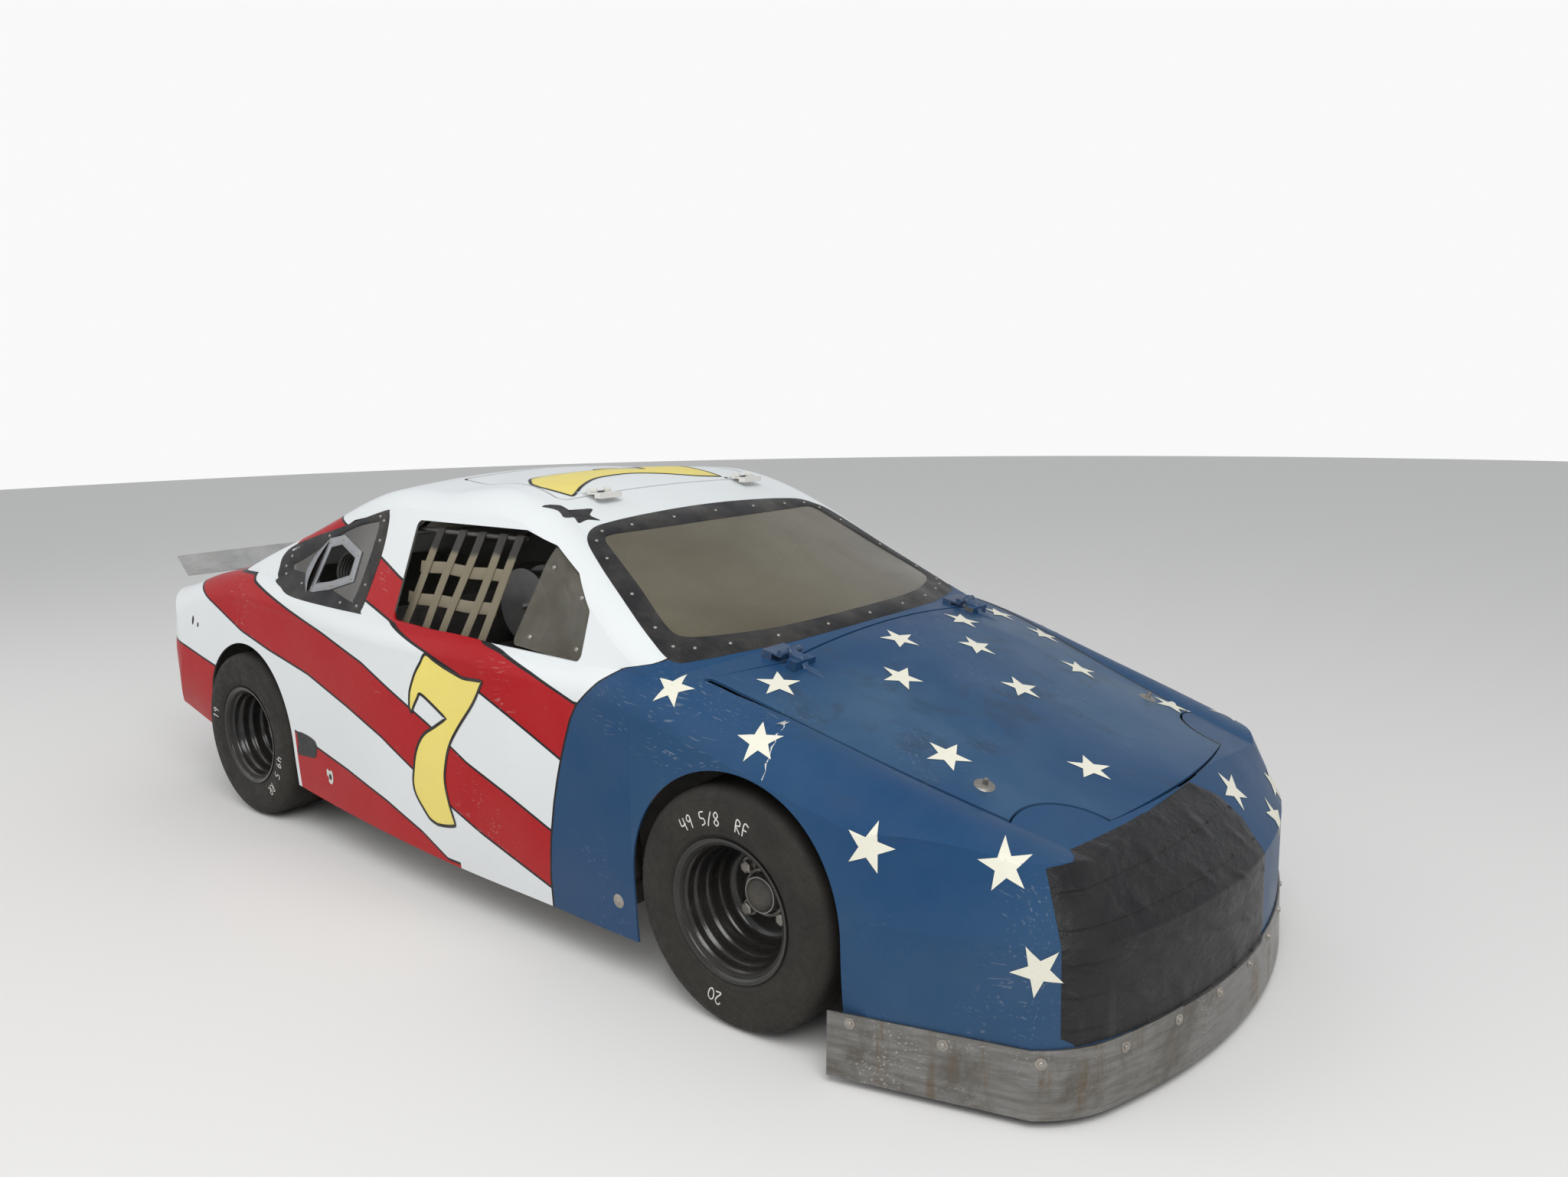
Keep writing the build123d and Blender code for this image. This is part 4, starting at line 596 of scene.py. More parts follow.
def makeDirtySheet(name):
    # bare sheet that has scraped and splashed: a drawn grain, dark blotches, brown runs and long scratches
    material, desk, sockets = newMaterial(name)
    place = desk.objectPlace()
    grain = desk.noise(desk.stretch(place, (1.0, 1.0, 9.0)), 12.0, 5.0, 0.7)
    blotch = desk.noise(place, 7.0, 5.0, 0.65, 0.4)
    tone = desk.mix(desk.ramp(grain, 0.35, 0.65), (0.17, 0.165, 0.155, 1), (0.25, 0.245, 0.235, 1))
    tone = desk.mix(desk.ramp(blotch, 0.46, 0.66, 0.0, 0.85), tone, (0.075, 0.062, 0.045, 1))
    runs = useGroup(desk, streakTree, scale=30.0, amount=1.0)["Mask"]
    tone = desk.mix(runs, tone, (0.13, 0.088, 0.045, 1))
    scratches = useGroup(desk, scratchTree, amount=0.8, scale=24.0)["Mask"]
    tone = desk.mix(scratches, tone, (0.62, 0.61, 0.59, 1))
    desk.join(tone, sockets["Base Color"])
    desk.join(desk.ramp(blotch, 0.4, 0.7, 0.85, 0.35), sockets["Metallic"])
    roughen(desk, sockets, grain, 0.24, 0.42)
    addBump(desk, sockets, desk.plus(desk.times(grain, 0.2), desk.noise(place, 9.0, 2.0)), 0.25, 0.006)
    return material


valanceSheet = makeDirtySheet("valanceSheet")


def makeWebbing(name):
    # herringbone: the along coordinate is shifted to and fro across the strap, and cut into threads
    material, desk, sockets = newMaterial(name)
    place = desk.objectPlace()
    across, along = desk.split(desk.add("ShaderNodeUVMap", uv_map="along").outputs["UV"])[:2]
    slant = desk.math("PINGPONG", across, 0.004)
    threads = desk.math("SINE", desk.times(desk.plus(along, slant), 2600.0))
    threads = desk.ramp(threads, -1.0, 1.0)
    tan = desk.mix(threads, (0.115, 0.095, 0.060, 1), (0.27, 0.235, 0.160, 1))
    black = desk.mix(threads, (0.012, 0.012, 0.012, 1), (0.035, 0.034, 0.032, 1))
    height = desk.split(place)[2]
    ragged = desk.plus(height, desk.times(desk.noise(place, 14.0, 2.0), 0.03))
    colour = desk.mix(desk.ramp(ragged, 0.700, 0.712), tan, black)
    coatWithDust(desk, sockets, colour, amount=0.12, patchScale=12.0, fadeHeight=0.9)
    desk.join(desk.ramp(threads, 0.0, 1.0, 0.95, 0.8), sockets["Roughness"])
    addBump(desk, sockets, threads, 0.5, 0.0005)
    return material


def makeMark(name, colour, roughness=0.5, brokenFrom=0.0, brokenScale=300.0):
    # a painted or stuck-on mark; where it is broken, its colour fades into dirt in small grains
    material, desk, sockets = newMaterial(name)
    place = desk.objectPlace()
    tone = desk.mix(desk.noise(place, 9.0, 5.0, 0.65), colour, shade(colour, 0.86))
    scratches = useGroup(desk, scratchTree, amount=0.4, scale=22.0)["Mask"]
    tone = desk.mix(scratches, tone, shade(colour, 0.55, 0.06))
    if brokenFrom:
        grains = desk.ramp(desk.noise(place, brokenScale, 3.0), brokenFrom, brokenFrom + 0.1)
        tone = desk.mix(grains, tone, (0.10, 0.095, 0.085, 1))
    coatWithDust(desk, sockets, tone, amount=0.15, patchScale=6.0, fadeHeight=0.3)
    roughen(desk, sockets, desk.noise(place, 30.0, 3.0), roughness - 0.06, roughness + 0.1)
    sockets["Specular IOR Level"].default_value = 0.15
    return material


def makeHingePaint(name):
    # painted with the panel that it sits on: blue ahead of the windshield, white on the roof, worn to the steel
    material, desk, sockets = newMaterial(name)
    place = desk.objectPlace()
    ahead = desk.ramp(desk.split(place)[0], 0.39, 0.41)
    tone = desk.mix(ahead, (0.68, 0.67, 0.63, 1), (0.014, 0.05, 0.12, 1))
    worn = useGroup(desk, wearTree, width=0.0012, amount=0.8, breakUp=150.0)["Mask"]
    tone = desk.mix(worn, tone, (0.22, 0.17, 0.13, 1))
    coatWithDust(desk, sockets, tone, amount=0.25, patchScale=10.0, fadeHeight=0.3)
    roughen(desk, sockets, desk.noise(place, 40.0, 4.0), 0.35, 0.55)
    return material


windowBorder = makePlastic("windowBorder", (0.017, 0.0175, 0.020, 1), 0.42, dustAmount=0.2)
wornSteel = makeMetal("wornSteel", (0.36, 0.34, 0.31, 1), 0.42, dustAmount=0.3)
chalkWhite = makeMark("chalkWhite", (0.72, 0.71, 0.68, 1), 0.9, brokenFrom=0.58, brokenScale=900.0)
starVinyl = makeMark("starVinyl", (0.78, 0.76, 0.64, 1), 0.4)
numberYellow = makeMark("numberYellow", (0.84, 0.70, 0.17, 1), 0.4)
lineBlack = makeMark("lineBlack", (0.012, 0.012, 0.012, 1), 0.4)
chipWhite = makeMark("chipWhite", (0.66, 0.66, 0.63, 1), 0.7, brokenFrom=0.6)
netWebbing = makeWebbing("netWebbing")
hingePaint = makeHingePaint("hingePaint")

finishes = {
    "body_white": bodyPaint, "body_blue": frontPaint, "hinge_steel": hingePaint, "windshield_glazing": windshieldGlass,
    "smoked_glazing": smokedGlass, "clear_glazing": clearGlass, "bare_aluminium": bareAluminium,
    "black_tape": blackTape, "bare_steel": bareSteel, "black_steel": blackSteel, "wheel_steel": wheelSteel,
    "tyre": tyreRubber, "steering_grip": gripPlastic, "seat_shell": seatSheet, "engine_block": engineCasting,
    "vent_metal": ventMetal, "duct_plastic": ductPlastic, "webbing": webbing,
}


def finishNode(name, material):
    slots = nodes[name].data.materials
    if not slots:
        slots.append(material)
    for index in range(len(slots)):
        slots[index] = material


for row in frame["record"]["subparts"]:
    finishNode(row["node"], finishes[row["material_slot"]])
finishNode("hood", hoodPaint)
finishNode("front_valance", valanceSheet)
print("CAD nodes finished")

# places on the skin: points are thrown at a node's surface along a direction


def smoothLoop(points, steps, closed=True):
    # Catmull-Rom through a row of points
    points = np.asarray(points, float)
    if not closed:
        points = np.concatenate([2 * points[:1] - points[1:2], points, 2 * points[-1:] - points[-2:-1]])
    before, here, after, beyond = (np.roll(points, shift, 0)[:, None] for shift in (1, 0, -1, -2))
    t = np.linspace(0, 1, steps, endpoint=False)[None, :, None]
    curve = 0.5 * (2 * here + (after - before) * t + (2 * before - 5 * here + 4 * after - beyond) * t ** 2
                   + (3 * here - before - 3 * after + beyond) * t ** 3)
    if closed:
        return curve.reshape(-1, points.shape[1])
    return np.concatenate([curve[1:-2].reshape(-1, points.shape[1]), points[-2:-1]])


def straightLoop(points, steps):
    # the straight sides of a closed outline, each cut into steps
    return ruleGrid(points, np.roll(points, -1, 0), np.linspace(0, 1, steps, endpoint=False)).reshape(-1, 2)


def readTriangles(mesh):
    vertices, faces = np.empty(len(mesh.vertices) * 3), np.empty(len(mesh.loops), int)
    mesh.vertices.foreach_get("co", vertices)
    mesh.loops.foreach_get("vertex_index", faces)
    return vertices.reshape(-1, 3), faces.reshape(-1, 3)


def joinSkin(name, *nodeNames):
    # the nodes' outer shapes as one mesh, there only to be thrown at
    vertices, faces = joinParts([readTriangles(nodes[nodeName].data) for nodeName in nodeNames])
    mesh = bpy.data.meshes.new(name)
    mesh.from_pydata(vertices.tolist(), [], faces.tolist())
    holder = bpy.data.objects.new(name, mesh)
    scene.collection.objects.link(holder)
    return holder


def settle(points, direction, target, lift=0.0004, reach=0.12):
    # each point goes back along the direction by the reach, and forward to the first face that it meets
    turned = np.stack(axisFrame(direction), -1)
    start = points.reshape(-1, 3) - turned[:, 2] * reach
    mesh = bpy.data.meshes.new("settling")
    mesh.from_pydata((start @ turned).tolist(), [], [])
    holder = bpy.data.objects.new("settling", mesh)
    holder.matrix_world = Matrix(turned.tolist()).to_4x4()
    scene.collection.objects.link(holder)
    wrap = holder.modifiers.new("wrap", "SHRINKWRAP")
    wrap.target, wrap.wrap_method, wrap.use_project_z = target, "PROJECT", True
    wrap.use_positive_direction, wrap.use_negative_direction = True, False
    landed = np.empty(start.size)
    holder.evaluated_get(bpy.context.evaluated_depsgraph_get()).data.vertices.foreach_get("co", landed)
    landed = landed.reshape(-1, 3) @ turned.T
    missed = np.linalg.norm(landed - start, axis=1) < 1e-5
    landed[missed] = points.reshape(-1, 3)[missed]
    bpy.data.objects.remove(holder)
    bpy.data.meshes.remove(mesh)
    return (landed - turned[:, 2] * lift).reshape(points.shape)


def skinNormals(points, direction, target, step=0.004):
    # the normal is the cross product of two short runs over the skin
    alongX, alongY, alongZ = axisFrame(direction)
    here = settle(points, direction, target, 0.0)
    first = settle(here + alongX * step, direction, target, 0.0) - here
    second = settle(here + alongY * step, direction, target, 0.0) - here
    normals = np.cross(first, second)
    normals /= np.linalg.norm(normals, axis=1)[:, None]
    return here, normals * -np.sign(normals @ alongZ)[:, None]


def sheetPart(grid, direction, target, lift=0.0005, reach=0.12, **loops):
    # a thin sheet laid on the skin, its faces looking out
    return orientPart(gridPart(settle(grid, direction, target, lift, reach), **loops), -np.asarray(direction, float))


def fanGrid(outline, rings=8, steps=4):
    # a closed outline filled from its middle outwards
    edge = smoothLoop(outline, steps)
    share = np.linspace(0, 1, rings)[:, None, None]
    return edge.mean(0) * (1 - share) + edge * share


def stripPart(loop, halfWidth, direction, closed=True, across=2):
    # a ribbon along a row of points: each is moved sideways, square to the row and to the direction
    ahead = np.roll(loop, -1, 0) - np.roll(loop, 1, 0) if closed else np.gradient(loop, axis=0)
    side = np.cross(ahead, np.asarray(direction, float))
    side /= np.maximum(np.linalg.norm(side, axis=1), 1e-9)[:, None]
    offsets = np.linspace(-1, 1, across)[None, :] * halfWidth
    return loop[:, None] + side[:, None] * offsets[..., None]


sideSkin = {side: joinSkin("skinSide", "side_panel_" + hand, "front_clip", "rear_clip", "greenhouse", "quarter_windows")
            for side, hand in ((-1, "right"), (1, "left"))}
topSkin = joinSkin("skinTop", "greenhouse", "windshield", "rear_window", "roof_hatch")
hoodSkin = joinSkin("skinHood", "hood")
noseSkin = joinSkin("skinNose", "front_clip", "hood", "front_valance")
clipSkin = joinSkin("skinClip", "front_clip")
print("skins ready")

# tyres: worn slicks, the profile is (radius, distance from the tyre's middle)

wheels = {
    "tyreProfile": [(0.102, 0.0), (0.102, 0.062), (0.1045, 0.0755), (0.110, 0.0785), (0.1175, 0.0792), (0.1215, 0.0815),
                    (0.1245, 0.0840), (0.1290, 0.0846), (0.1335, 0.0862), (0.1450, 0.0876), (0.1580, 0.0876),
                    (0.1700, 0.0866), (0.1775, 0.0848), (0.1795, 0.0848), (0.1840, 0.0830), (0.1880, 0.0812),
                    (0.1920, 0.0780), (0.1948, 0.0738), (0.1966, 0.0684), (0.1976, 0.0600), (0.1984, 0.0400),
                    (0.1988, 0.0200), (0.199, 0.0)],
    "rimProfile": [(0.1170, 0.0), (0.1135, 0.0), (0.1085, -0.0035), (0.1035, -0.0105), (0.1000, -0.0135),
                   (0.0985, -0.0170), (0.0985, -0.0260), (0.0962, -0.0290), (0.0935, -0.0320), (0.0928, -0.0380),
                   (0.0928, -0.0480), (0.0905, -0.0510), (0.0878, -0.0540), (0.0872, -0.0600), (0.0872, -0.0720),
                   (0.0850, -0.0750), (0.0822, -0.0782), (0.0815, -0.0850), (0.0790, -0.0920), (0.0740, -0.0972),
                   (0.0670, -0.0990), (0.0600, -0.0975), (0.0570, -0.0955), (0.0310, -0.0955), (0.0310, -0.1050),
                   (0.0850, -0.1050), (0.0985, -0.1070), (0.0985, -0.1530), (0.1050, -0.1650), (0.1170, -0.1650),
                   (0.1170, -0.1615), (0.1080, -0.1615), (0.1020, -0.1510), (0.1020, -0.0140), (0.1080, -0.0035),
                   (0.1170, -0.0035)],
    "height": 0.199,
    "width": 0.165,
    "front": (0.72, 0.515),
    "rear": (-0.85, 0.482),
    "lugCircle": 0.0508,
    "discDepth": 0.0955,
}
corners = [(end, side, hand) for end in ("front", "rear") for side, hand in ((-1, "right"), (1, "left"))]
print("wheel sizes ready")


def wheelBody(end, hand):
    return "rear_wheels" if end == "rear" else "front_wheel_" + hand


def makeTyre(end, side, hand):
    x, face = wheels[end]
    half = np.array(wheels["tyreProfile"])
    whole = np.concatenate([half, half[-2:0:-1] * (1, -1)])
    part = turnPart(smoothLoop(whole, 3), 144, (x, side * (face - wheels["width"] / 2), wheels["height"]),
                    (0, -side, 0), closed=True)
    tyre = buildPiece(f"tyre{end.title()}{hand.title()}", part, tyreRubber, wheelBody(end, hand))
    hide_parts(f"tyre_{end}_{hand}")
    return tyre


def makeRim(end, side, hand):
    x, face = wheels[end]
    part = turnPart(wheels["rimProfile"], 128, (x, side * face, wheels["height"]), (0, side, 0), closed=True)
    rim = buildPiece(f"rim{end.title()}{hand.title()}", part, wheelSteel, wheelBody(end, hand),
                     sharpAngle=50)
    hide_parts(f"rim_{end}_{hand}")


def buildHardware(name, part, body="chassis", sharpAngle=None):
    return buildPiece(name, part, wornSteel, body, sharpAngle=sharpAngle)


wheelTrim = {
    "nut": [(0.0, 0.0135), (0.0078, 0.0135), (0.0108, 0.0118), (0.0108, 0.0015)],
    "washer": [(0.0085, 0.0018), (0.0138, 0.0018), (0.0142, 0.0), (0.0085, 0.0)],
    "cap": [(0.0, 0.0262), (0.012, 0.0258), (0.022, 0.0238), (0.0285, 0.0195), (0.0316, 0.0120), (0.0318, 0.0)],
    "rearCap": [(0.0, 0.0385), (0.0135, 0.0385), (0.0172, 0.0365), (0.0185, 0.0260), (0.0295, 0.0235), (0.0318, 0.0200),
                (0.0318, 0.0)],
    "ring": [(0.0345, 0.0005), (0.0400, 0.0005), (0.0408, 0.0030), (0.0400, 0.0070), (0.0370, 0.0085),
             (0.0348, 0.0070)],
    "ringStart": 250,       # degrees
    "ringSweep": 302,
    "lugStart": 45,
}


def makeWheelTrim(end, side, hand):
    # nuts and washers on the lug circle, a cap over the hub's nose, and a split ring round it
    x, face = wheels[end]
    out = np.array([0, side, 0])
    hub = np.array([x, side * (face - wheels["discDepth"]), wheels["height"]])
    angle = math.radians(wheelTrim["lugStart"]) + np.arange(4) * math.pi / 2
    lugs = hub + wheels["lugCircle"] * np.stack([np.cos(angle), 0 * angle, np.sin(angle)], -1)
    frames = placeFrames(lugs, np.tile(out, (4, 1)))
    nut, washer = turnPart(wheelTrim["nut"], 6), turnPart(wheelTrim["washer"], 20, closed=True)
    name = f"{end.title()}{hand.title()}"
    buildHardware("nuts" + name, joinParts([repeatPart(nut, frames), repeatPart(washer, frames)]),
                  wheelBody(end, hand), sharpAngle=25)
    cap = turnPart(wheelTrim["cap" if end == "front" else "rearCap"], 40, hub, out)
    buildPiece("hubCap" + name, cap, blackSteel, wheelBody(end, hand), sharpAngle=40)
    if end == "front":
        start, sweep = (math.radians(wheelTrim[key]) for key in ("ringStart", "ringSweep"))
        ring = turnPart(wheelTrim["ring"], 40, hub, out, start, sweep, closed=True)
        buildHardware("splitRing" + name, ring, wheelBody(end, hand), sharpAngle=40)


tyres = {(end, side): makeTyre(end, side, hand) for end, side, hand in corners}
for end, side, hand in corners:
    makeRim(end, side, hand)
    makeWheelTrim(end, side, hand)
print("wheels ready")

# chalk marks: strokes of each sign in a cell one high, written round the sidewall

chalk = {
    "strokes": {
        "0": [[(0.3, 0.9), (0.1, 0.7), (0.1, 0.25), (0.3, 0.05), (0.5, 0.25), (0.5, 0.7), (0.3, 0.9)]],
        "1": [[(0.2, 0.75), (0.35, 0.95), (0.3, 0.05)]],
        "2": [[(0.1, 0.75), (0.3, 0.95), (0.5, 0.75), (0.4, 0.45), (0.08, 0.05), (0.55, 0.08)]],
        "4": [[(0.12, 0.95), (0.1, 0.45), (0.52, 0.5)], [(0.45, 0.9), (0.42, 0.05)]],
        "5": [[(0.5, 0.95), (0.15, 0.9), (0.15, 0.55), (0.42, 0.5), (0.48, 0.2), (0.12, 0.05)]],
        "8": [[(0.3, 0.5), (0.12, 0.72), (0.3, 0.95), (0.46, 0.72), (0.3, 0.5), (0.1, 0.25), (0.3, 0.04), (0.5, 0.26),
               (0.3, 0.5)]],
        "9": [[(0.45, 0.7), (0.3, 0.5), (0.12, 0.7), (0.3, 0.95), (0.47, 0.75), (0.4, 0.05)]],
        "F": [[(0.12, 0.05), (0.14, 0.95), (0.5, 0.9)], [(0.13, 0.52), (0.42, 0.54)]],
        "L": [[(0.15, 0.95), (0.12, 0.08), (0.5, 0.06)]],
        "R": [[(0.1, 0.05), (0.14, 0.92), (0.42, 0.85), (0.42, 0.6), (0.15, 0.5), (0.52, 0.05)]],
        "/": [[(0.1, 0.0), (0.5, 0.95)]],
    },
    "size": 0.024,
    "radius": 0.150,
    "line": 0.0011,
    "marks": {("front", -1): [("49 5/8  RF", 98), ("20", 259)], ("rear", -1): [("19", 167), ("49 5  RR", 328)],
              ("front", 1): [("49  LF", 98), ("18", 259)], ("rear", 1): [("49 1/4  LR", 98)]},
}


def chalkPart(text, middleDegrees, end, side):
    # the baseline is a circle, each sign turned so that its top points away from the axle
    x, face = wheels[end]
    size, radius = chalk["size"], chalk["radius"]
    strips = []
    for index, sign in enumerate(text):
        for stroke in chalk["strokes"].get(sign, []):
            row = smoothLoop(stroke, 4, closed=False) * size
            reading = (row[:, 0] + (index - len(text) / 2) * size * 0.62) / radius
            angle = math.radians(middleDegrees) - reading
            reach = radius + row[:, 1] - size / 2
            points = np.stack([x - side * reach * np.cos(angle), np.full(len(row), side * face),
                               wheels["height"] + reach * np.sin(angle)], -1)
            grid = stripPart(points, chalk["line"], (0, side, 0), closed=False)
            strips.append(sheetPart(grid, (0, -side, 0), tyres[(end, side)], 0.00035, 0.04))
    return joinParts(strips)


for (end, side), rows in chalk["marks"].items():
    hand = "Right" if side < 0 else "Left"
    buildPiece(f"chalk{end.title()}{hand}", joinParts([chalkPart(text, middle, end, side) for text, middle in rows]),
               chalkWhite, wheelBody(end, hand.lower()))
print("chalk marks ready")

# window borders: rows of inner and outer edge, from the middle of the top round one side to the middle of the bottom

borders = {
    "windshield": [(0.275, 0.0, 0.217, 0.0), (0.272, -0.11, 0.217, -0.13), (0.263, -0.21, 0.217, -0.25),
                   (0.252, -0.295, 0.222, -0.312), (0.262, -0.318, 0.250, -0.352), (0.30, -0.330, 0.304, -0.376),
                   (0.392, -0.356, 0.39, -0.402), (0.462, -0.380, 0.48, -0.428), (0.498, -0.386, 0.540, -0.436),
                   (0.520, -0.370, 0.566, -0.398), (0.548, -0.318, 0.592, -0.332), (0.581, -0.23, 0.622, -0.24),
                   (0.602, -0.12, 0.644, -0.12), (0.609, 0.0, 0.650, 0.0)],
    "rearWindow": [(-0.810, 0.0, -0.862, 0.0), (-0.812, -0.15, -0.860, -0.17), (-0.815, -0.28, -0.855, -0.32),
                   (-0.795, -0.318, -0.835, -0.362), (-0.74, -0.312, -0.75, -0.352), (-0.60, -0.288, -0.61, -0.328),
                   (-0.50, -0.268, -0.475, -0.308), (-0.468, -0.245, -0.435, -0.27), (-0.463, -0.12, -0.425, -0.13),
                   (-0.462, 0.0, -0.423, 0.0)],
    "quarterOuter": [(-0.744, 0.583), (-0.749, 0.606), (-0.742, 0.634), (-0.694, 0.664), (-0.51, 0.712),
                     (-0.350, 0.755), (-0.328, 0.752), (-0.319, 0.72), (-0.318, 0.666), (-0.333, 0.590),
                     (-0.345, 0.553), (-0.366, 0.546), (-0.611, 0.554), (-0.693, 0.569)],
    "quarterInner": [(-0.672, 0.607), (-0.682, 0.612), (-0.678, 0.619), (-0.640, 0.634), (-0.470, 0.708),
                     (-0.366, 0.731), (-0.357, 0.728), (-0.355, 0.716), (-0.360, 0.666), (-0.374, 0.598),
                     (-0.385, 0.572), (-0.396, 0.566), (-0.520, 0.589), (-0.600, 0.603)],
    "rivets": {"windshield": 26, "rearWindow": 22, "quarter": 11},
    "rivetLift": 0.0012,
    "shares": (0.0, 0.04, 0.5, 0.96, 1.0),      # across the border
    "lift": (0.0002, 0.0013, 0.0014, 0.0013, 0.0002),
}
rivetHead = turnPart([(0.0, 0.0021), (0.0016, 0.0019), (0.0030, 0.0011), (0.0036, 0.0)], 10)


def makeBorder(name, inner, outer, direction, target, count):
    # the border runs from its inner to its outer edge in four steps, and its edges turn down to the skin
    grid = settle(ruleGrid(inner, outer, borders["shares"]), direction, target, 0.0)
    grid = grid - np.asarray(direction, float) * np.array(borders["lift"])[None, :, None]
    part = orientPart(gridPart(grid, loopRows=True), -np.asarray(direction, float))
    buildPiece(name, part, windowBorder, "chassis")
    picks = (np.arange(count) * len(inner) / count).astype(int)
    points, normals = skinNormals(grid[picks, 2], direction, target)
    buildHardware(name + "Rivets", repeatPart(rivetHead, placeFrames(points + normals * borders["rivetLift"], normals)))


for name, key in (("windshieldBorder", "windshield"), ("rearWindowBorder", "rearWindow")):
    half = np.array(borders[key])
    whole = smoothLoop(np.concatenate([half, half[-2:0:-1] * (1, -1, 1, -1)]), 8)
    inner, outer = (np.insert(row, 2, 0.75, axis=1) for row in (whole[:, :2], whole[:, 2:]))
    makeBorder(name, inner, outer, (0, 0, -1), topSkin, borders["rivets"][key])
for side, hand in ((-1, "Right"), (1, "Left")):
    inner, outer = smoothLoop(borders["quarterInner"], 6), smoothLoop(borders["quarterOuter"], 6)
    inner, outer = (np.insert(row, 1, side * 0.45, axis=1) for row in (inner, outer))
    makeBorder("quarterBorder" + hand, inner, outer, (0, -side, 0), sideSkin[side], borders["rivets"]["quarter"])
print("window borders ready")

# stars: centre and the direction of one tip, on the front clip's side, the hood or the nose

stars = {
    "clip": [((0.579, -0.467, 0.526), (-32, 2, 16)), ((0.762, -0.473, 0.471), (-16, 30, 25)),
             ((0.977, -0.494, 0.361), (5, 14, 33)), ((1.154, -0.416, 0.355), (-20, 36, 26)),
             ((1.210, -0.437, 0.224), (-14, -10, 34))],
    "hood": [((0.702, -0.358, 0.530), (-17, 18, 8)), ((0.813, -0.170, 0.507), (-32, -1, 10)),
             ((0.731, -0.053, 0.544), (-24, 8, 8)), ((0.723, 0.179, 0.537), (-18, 24, 6)),
             ((0.811, 0.082, 0.516), (-26, 12, 9)), ((0.702, 0.360, 0.521), (-20, 20, 8)),
             ((0.799, 0.369, 0.489), (-31, 29, 6)), ((0.975, -0.287, 0.438), (-35, 4, 12)),
             ((1.129, -0.116, 0.406), (-27, 28, 12)), ((1.083, 0.330, 0.395), (-39, 4, 10)),
             ((0.935, 0.02, 0.47), (-30, 20, 8)), ((0.93, 0.26, 0.45), (-28, -12, 10))],
    "nose": [((1.272, 0.118, 0.330), (-25, -11, 31)), ((1.313, 0.217, 0.262), (-12, 52, 0)),
             ((1.27, 0.33, 0.28), (-8, 20, 30))],
    "reach": 0.038,
    "waist": 0.40,          # radius between the tips, as a share of the tips' radius
}


def starGrid(normal, tip):
    # ten corners, alternately tip and waist, filled from the middle outwards
    along = tip - normal * (tip @ normal)
    along /= np.linalg.norm(along)
    across = np.cross(normal, along)
    angle = np.arange(10) * math.pi / 5
    radius = np.where(np.arange(10) % 2, stars["waist"], 1.0) * stars["reach"]
    edge = straightLoop(np.stack([radius * np.cos(angle), radius * np.sin(angle)], -1), 6)
    flat = edge[None] * np.linspace(0, 1, 10)[:, None, None]
    return flat[..., :1] * along + flat[..., 1:] * across


def makeStars(name, rows, guess, target, body, mirrored=False):
    parts = []
    for flip in ((1, -1) if mirrored else (1,)):
        turn = np.array([1, flip, 1])
        centres = np.array([row[0] for row in rows]) * turn
        places, normals = skinNormals(centres, np.asarray(guess) * turn, target)
        for place, normal, row in zip(places, normals, rows):
            grid = place + starGrid(normal, np.array(row[1], float) * turn)
            parts.append(sheetPart(grid, -normal, target, 0.0008, 0.03, loopColumns=True))
    buildPiece(name, joinParts(parts), starVinyl, body)


makeStars("starsSide", stars["clip"], (0, 1, 0), clipSkin, "chassis", mirrored=True)
makeStars("starsNose", stars["nose"], (-1, 0, -0.3), clipSkin, "chassis")
makeStars("starsHood", stars["hood"], (0, 0, -1), hoodSkin, "hood")
print("stars ready")

# the number: a bar and a stem, ruled between two edges each, in metres on the door

number = {
    "barTop": [(-0.118, 0.392), (-0.1165, 0.412), (-0.113, 0.428), (-0.097, 0.460), (-0.078, 0.484), (-0.059, 0.505),
               (-0.03, 0.496), (0.002, 0.487), (0.007, 0.486)],
    "barBottom": [(-0.118, 0.392), (-0.114, 0.386), (-0.110, 0.382), (-0.104, 0.392), (-0.098, 0.401), (-0.088, 0.414),
                  (-0.077, 0.424), (-0.035, 0.408), (0.007, 0.389)],
    "stemLeft": [(-0.044, 0.167), (-0.066, 0.172), (-0.080, 0.182), (-0.110, 0.212), (-0.118, 0.236), (-0.114, 0.261),
                 (-0.099, 0.308), (-0.072, 0.343), (-0.033, 0.366), (0.007, 0.389)],
    "stemRight": [(-0.044, 0.167), (-0.018, 0.170), (0.009, 0.176), (0.016, 0.183), (0.002, 0.220), (-0.007, 0.261),
                  (-0.002, 0.294), (0.013, 0.335), (0.044, 0.377), (0.092, 0.431), (0.120, 0.477)],
    "topEdge": [(0.007, 0.486), (0.034, 0.480), (0.062, 0.475), (0.092, 0.476), (0.120, 0.477)],
    "outline": 0.0032,
    "roof": {"shift": 0.005, "foot": 0.275, "place": (0.03, -0.117, 0.82), "stretch": (1.35, 1.48), "lean": 0.5},
}


def ruledRows(first, second, steps, across):
    # straight lines between two edges that are followed at the same share
    first, second = (smoothLoop(row, steps, closed=False) for row in (first, second))
    return ruleGrid(first, second, np.linspace(0, 1, across))


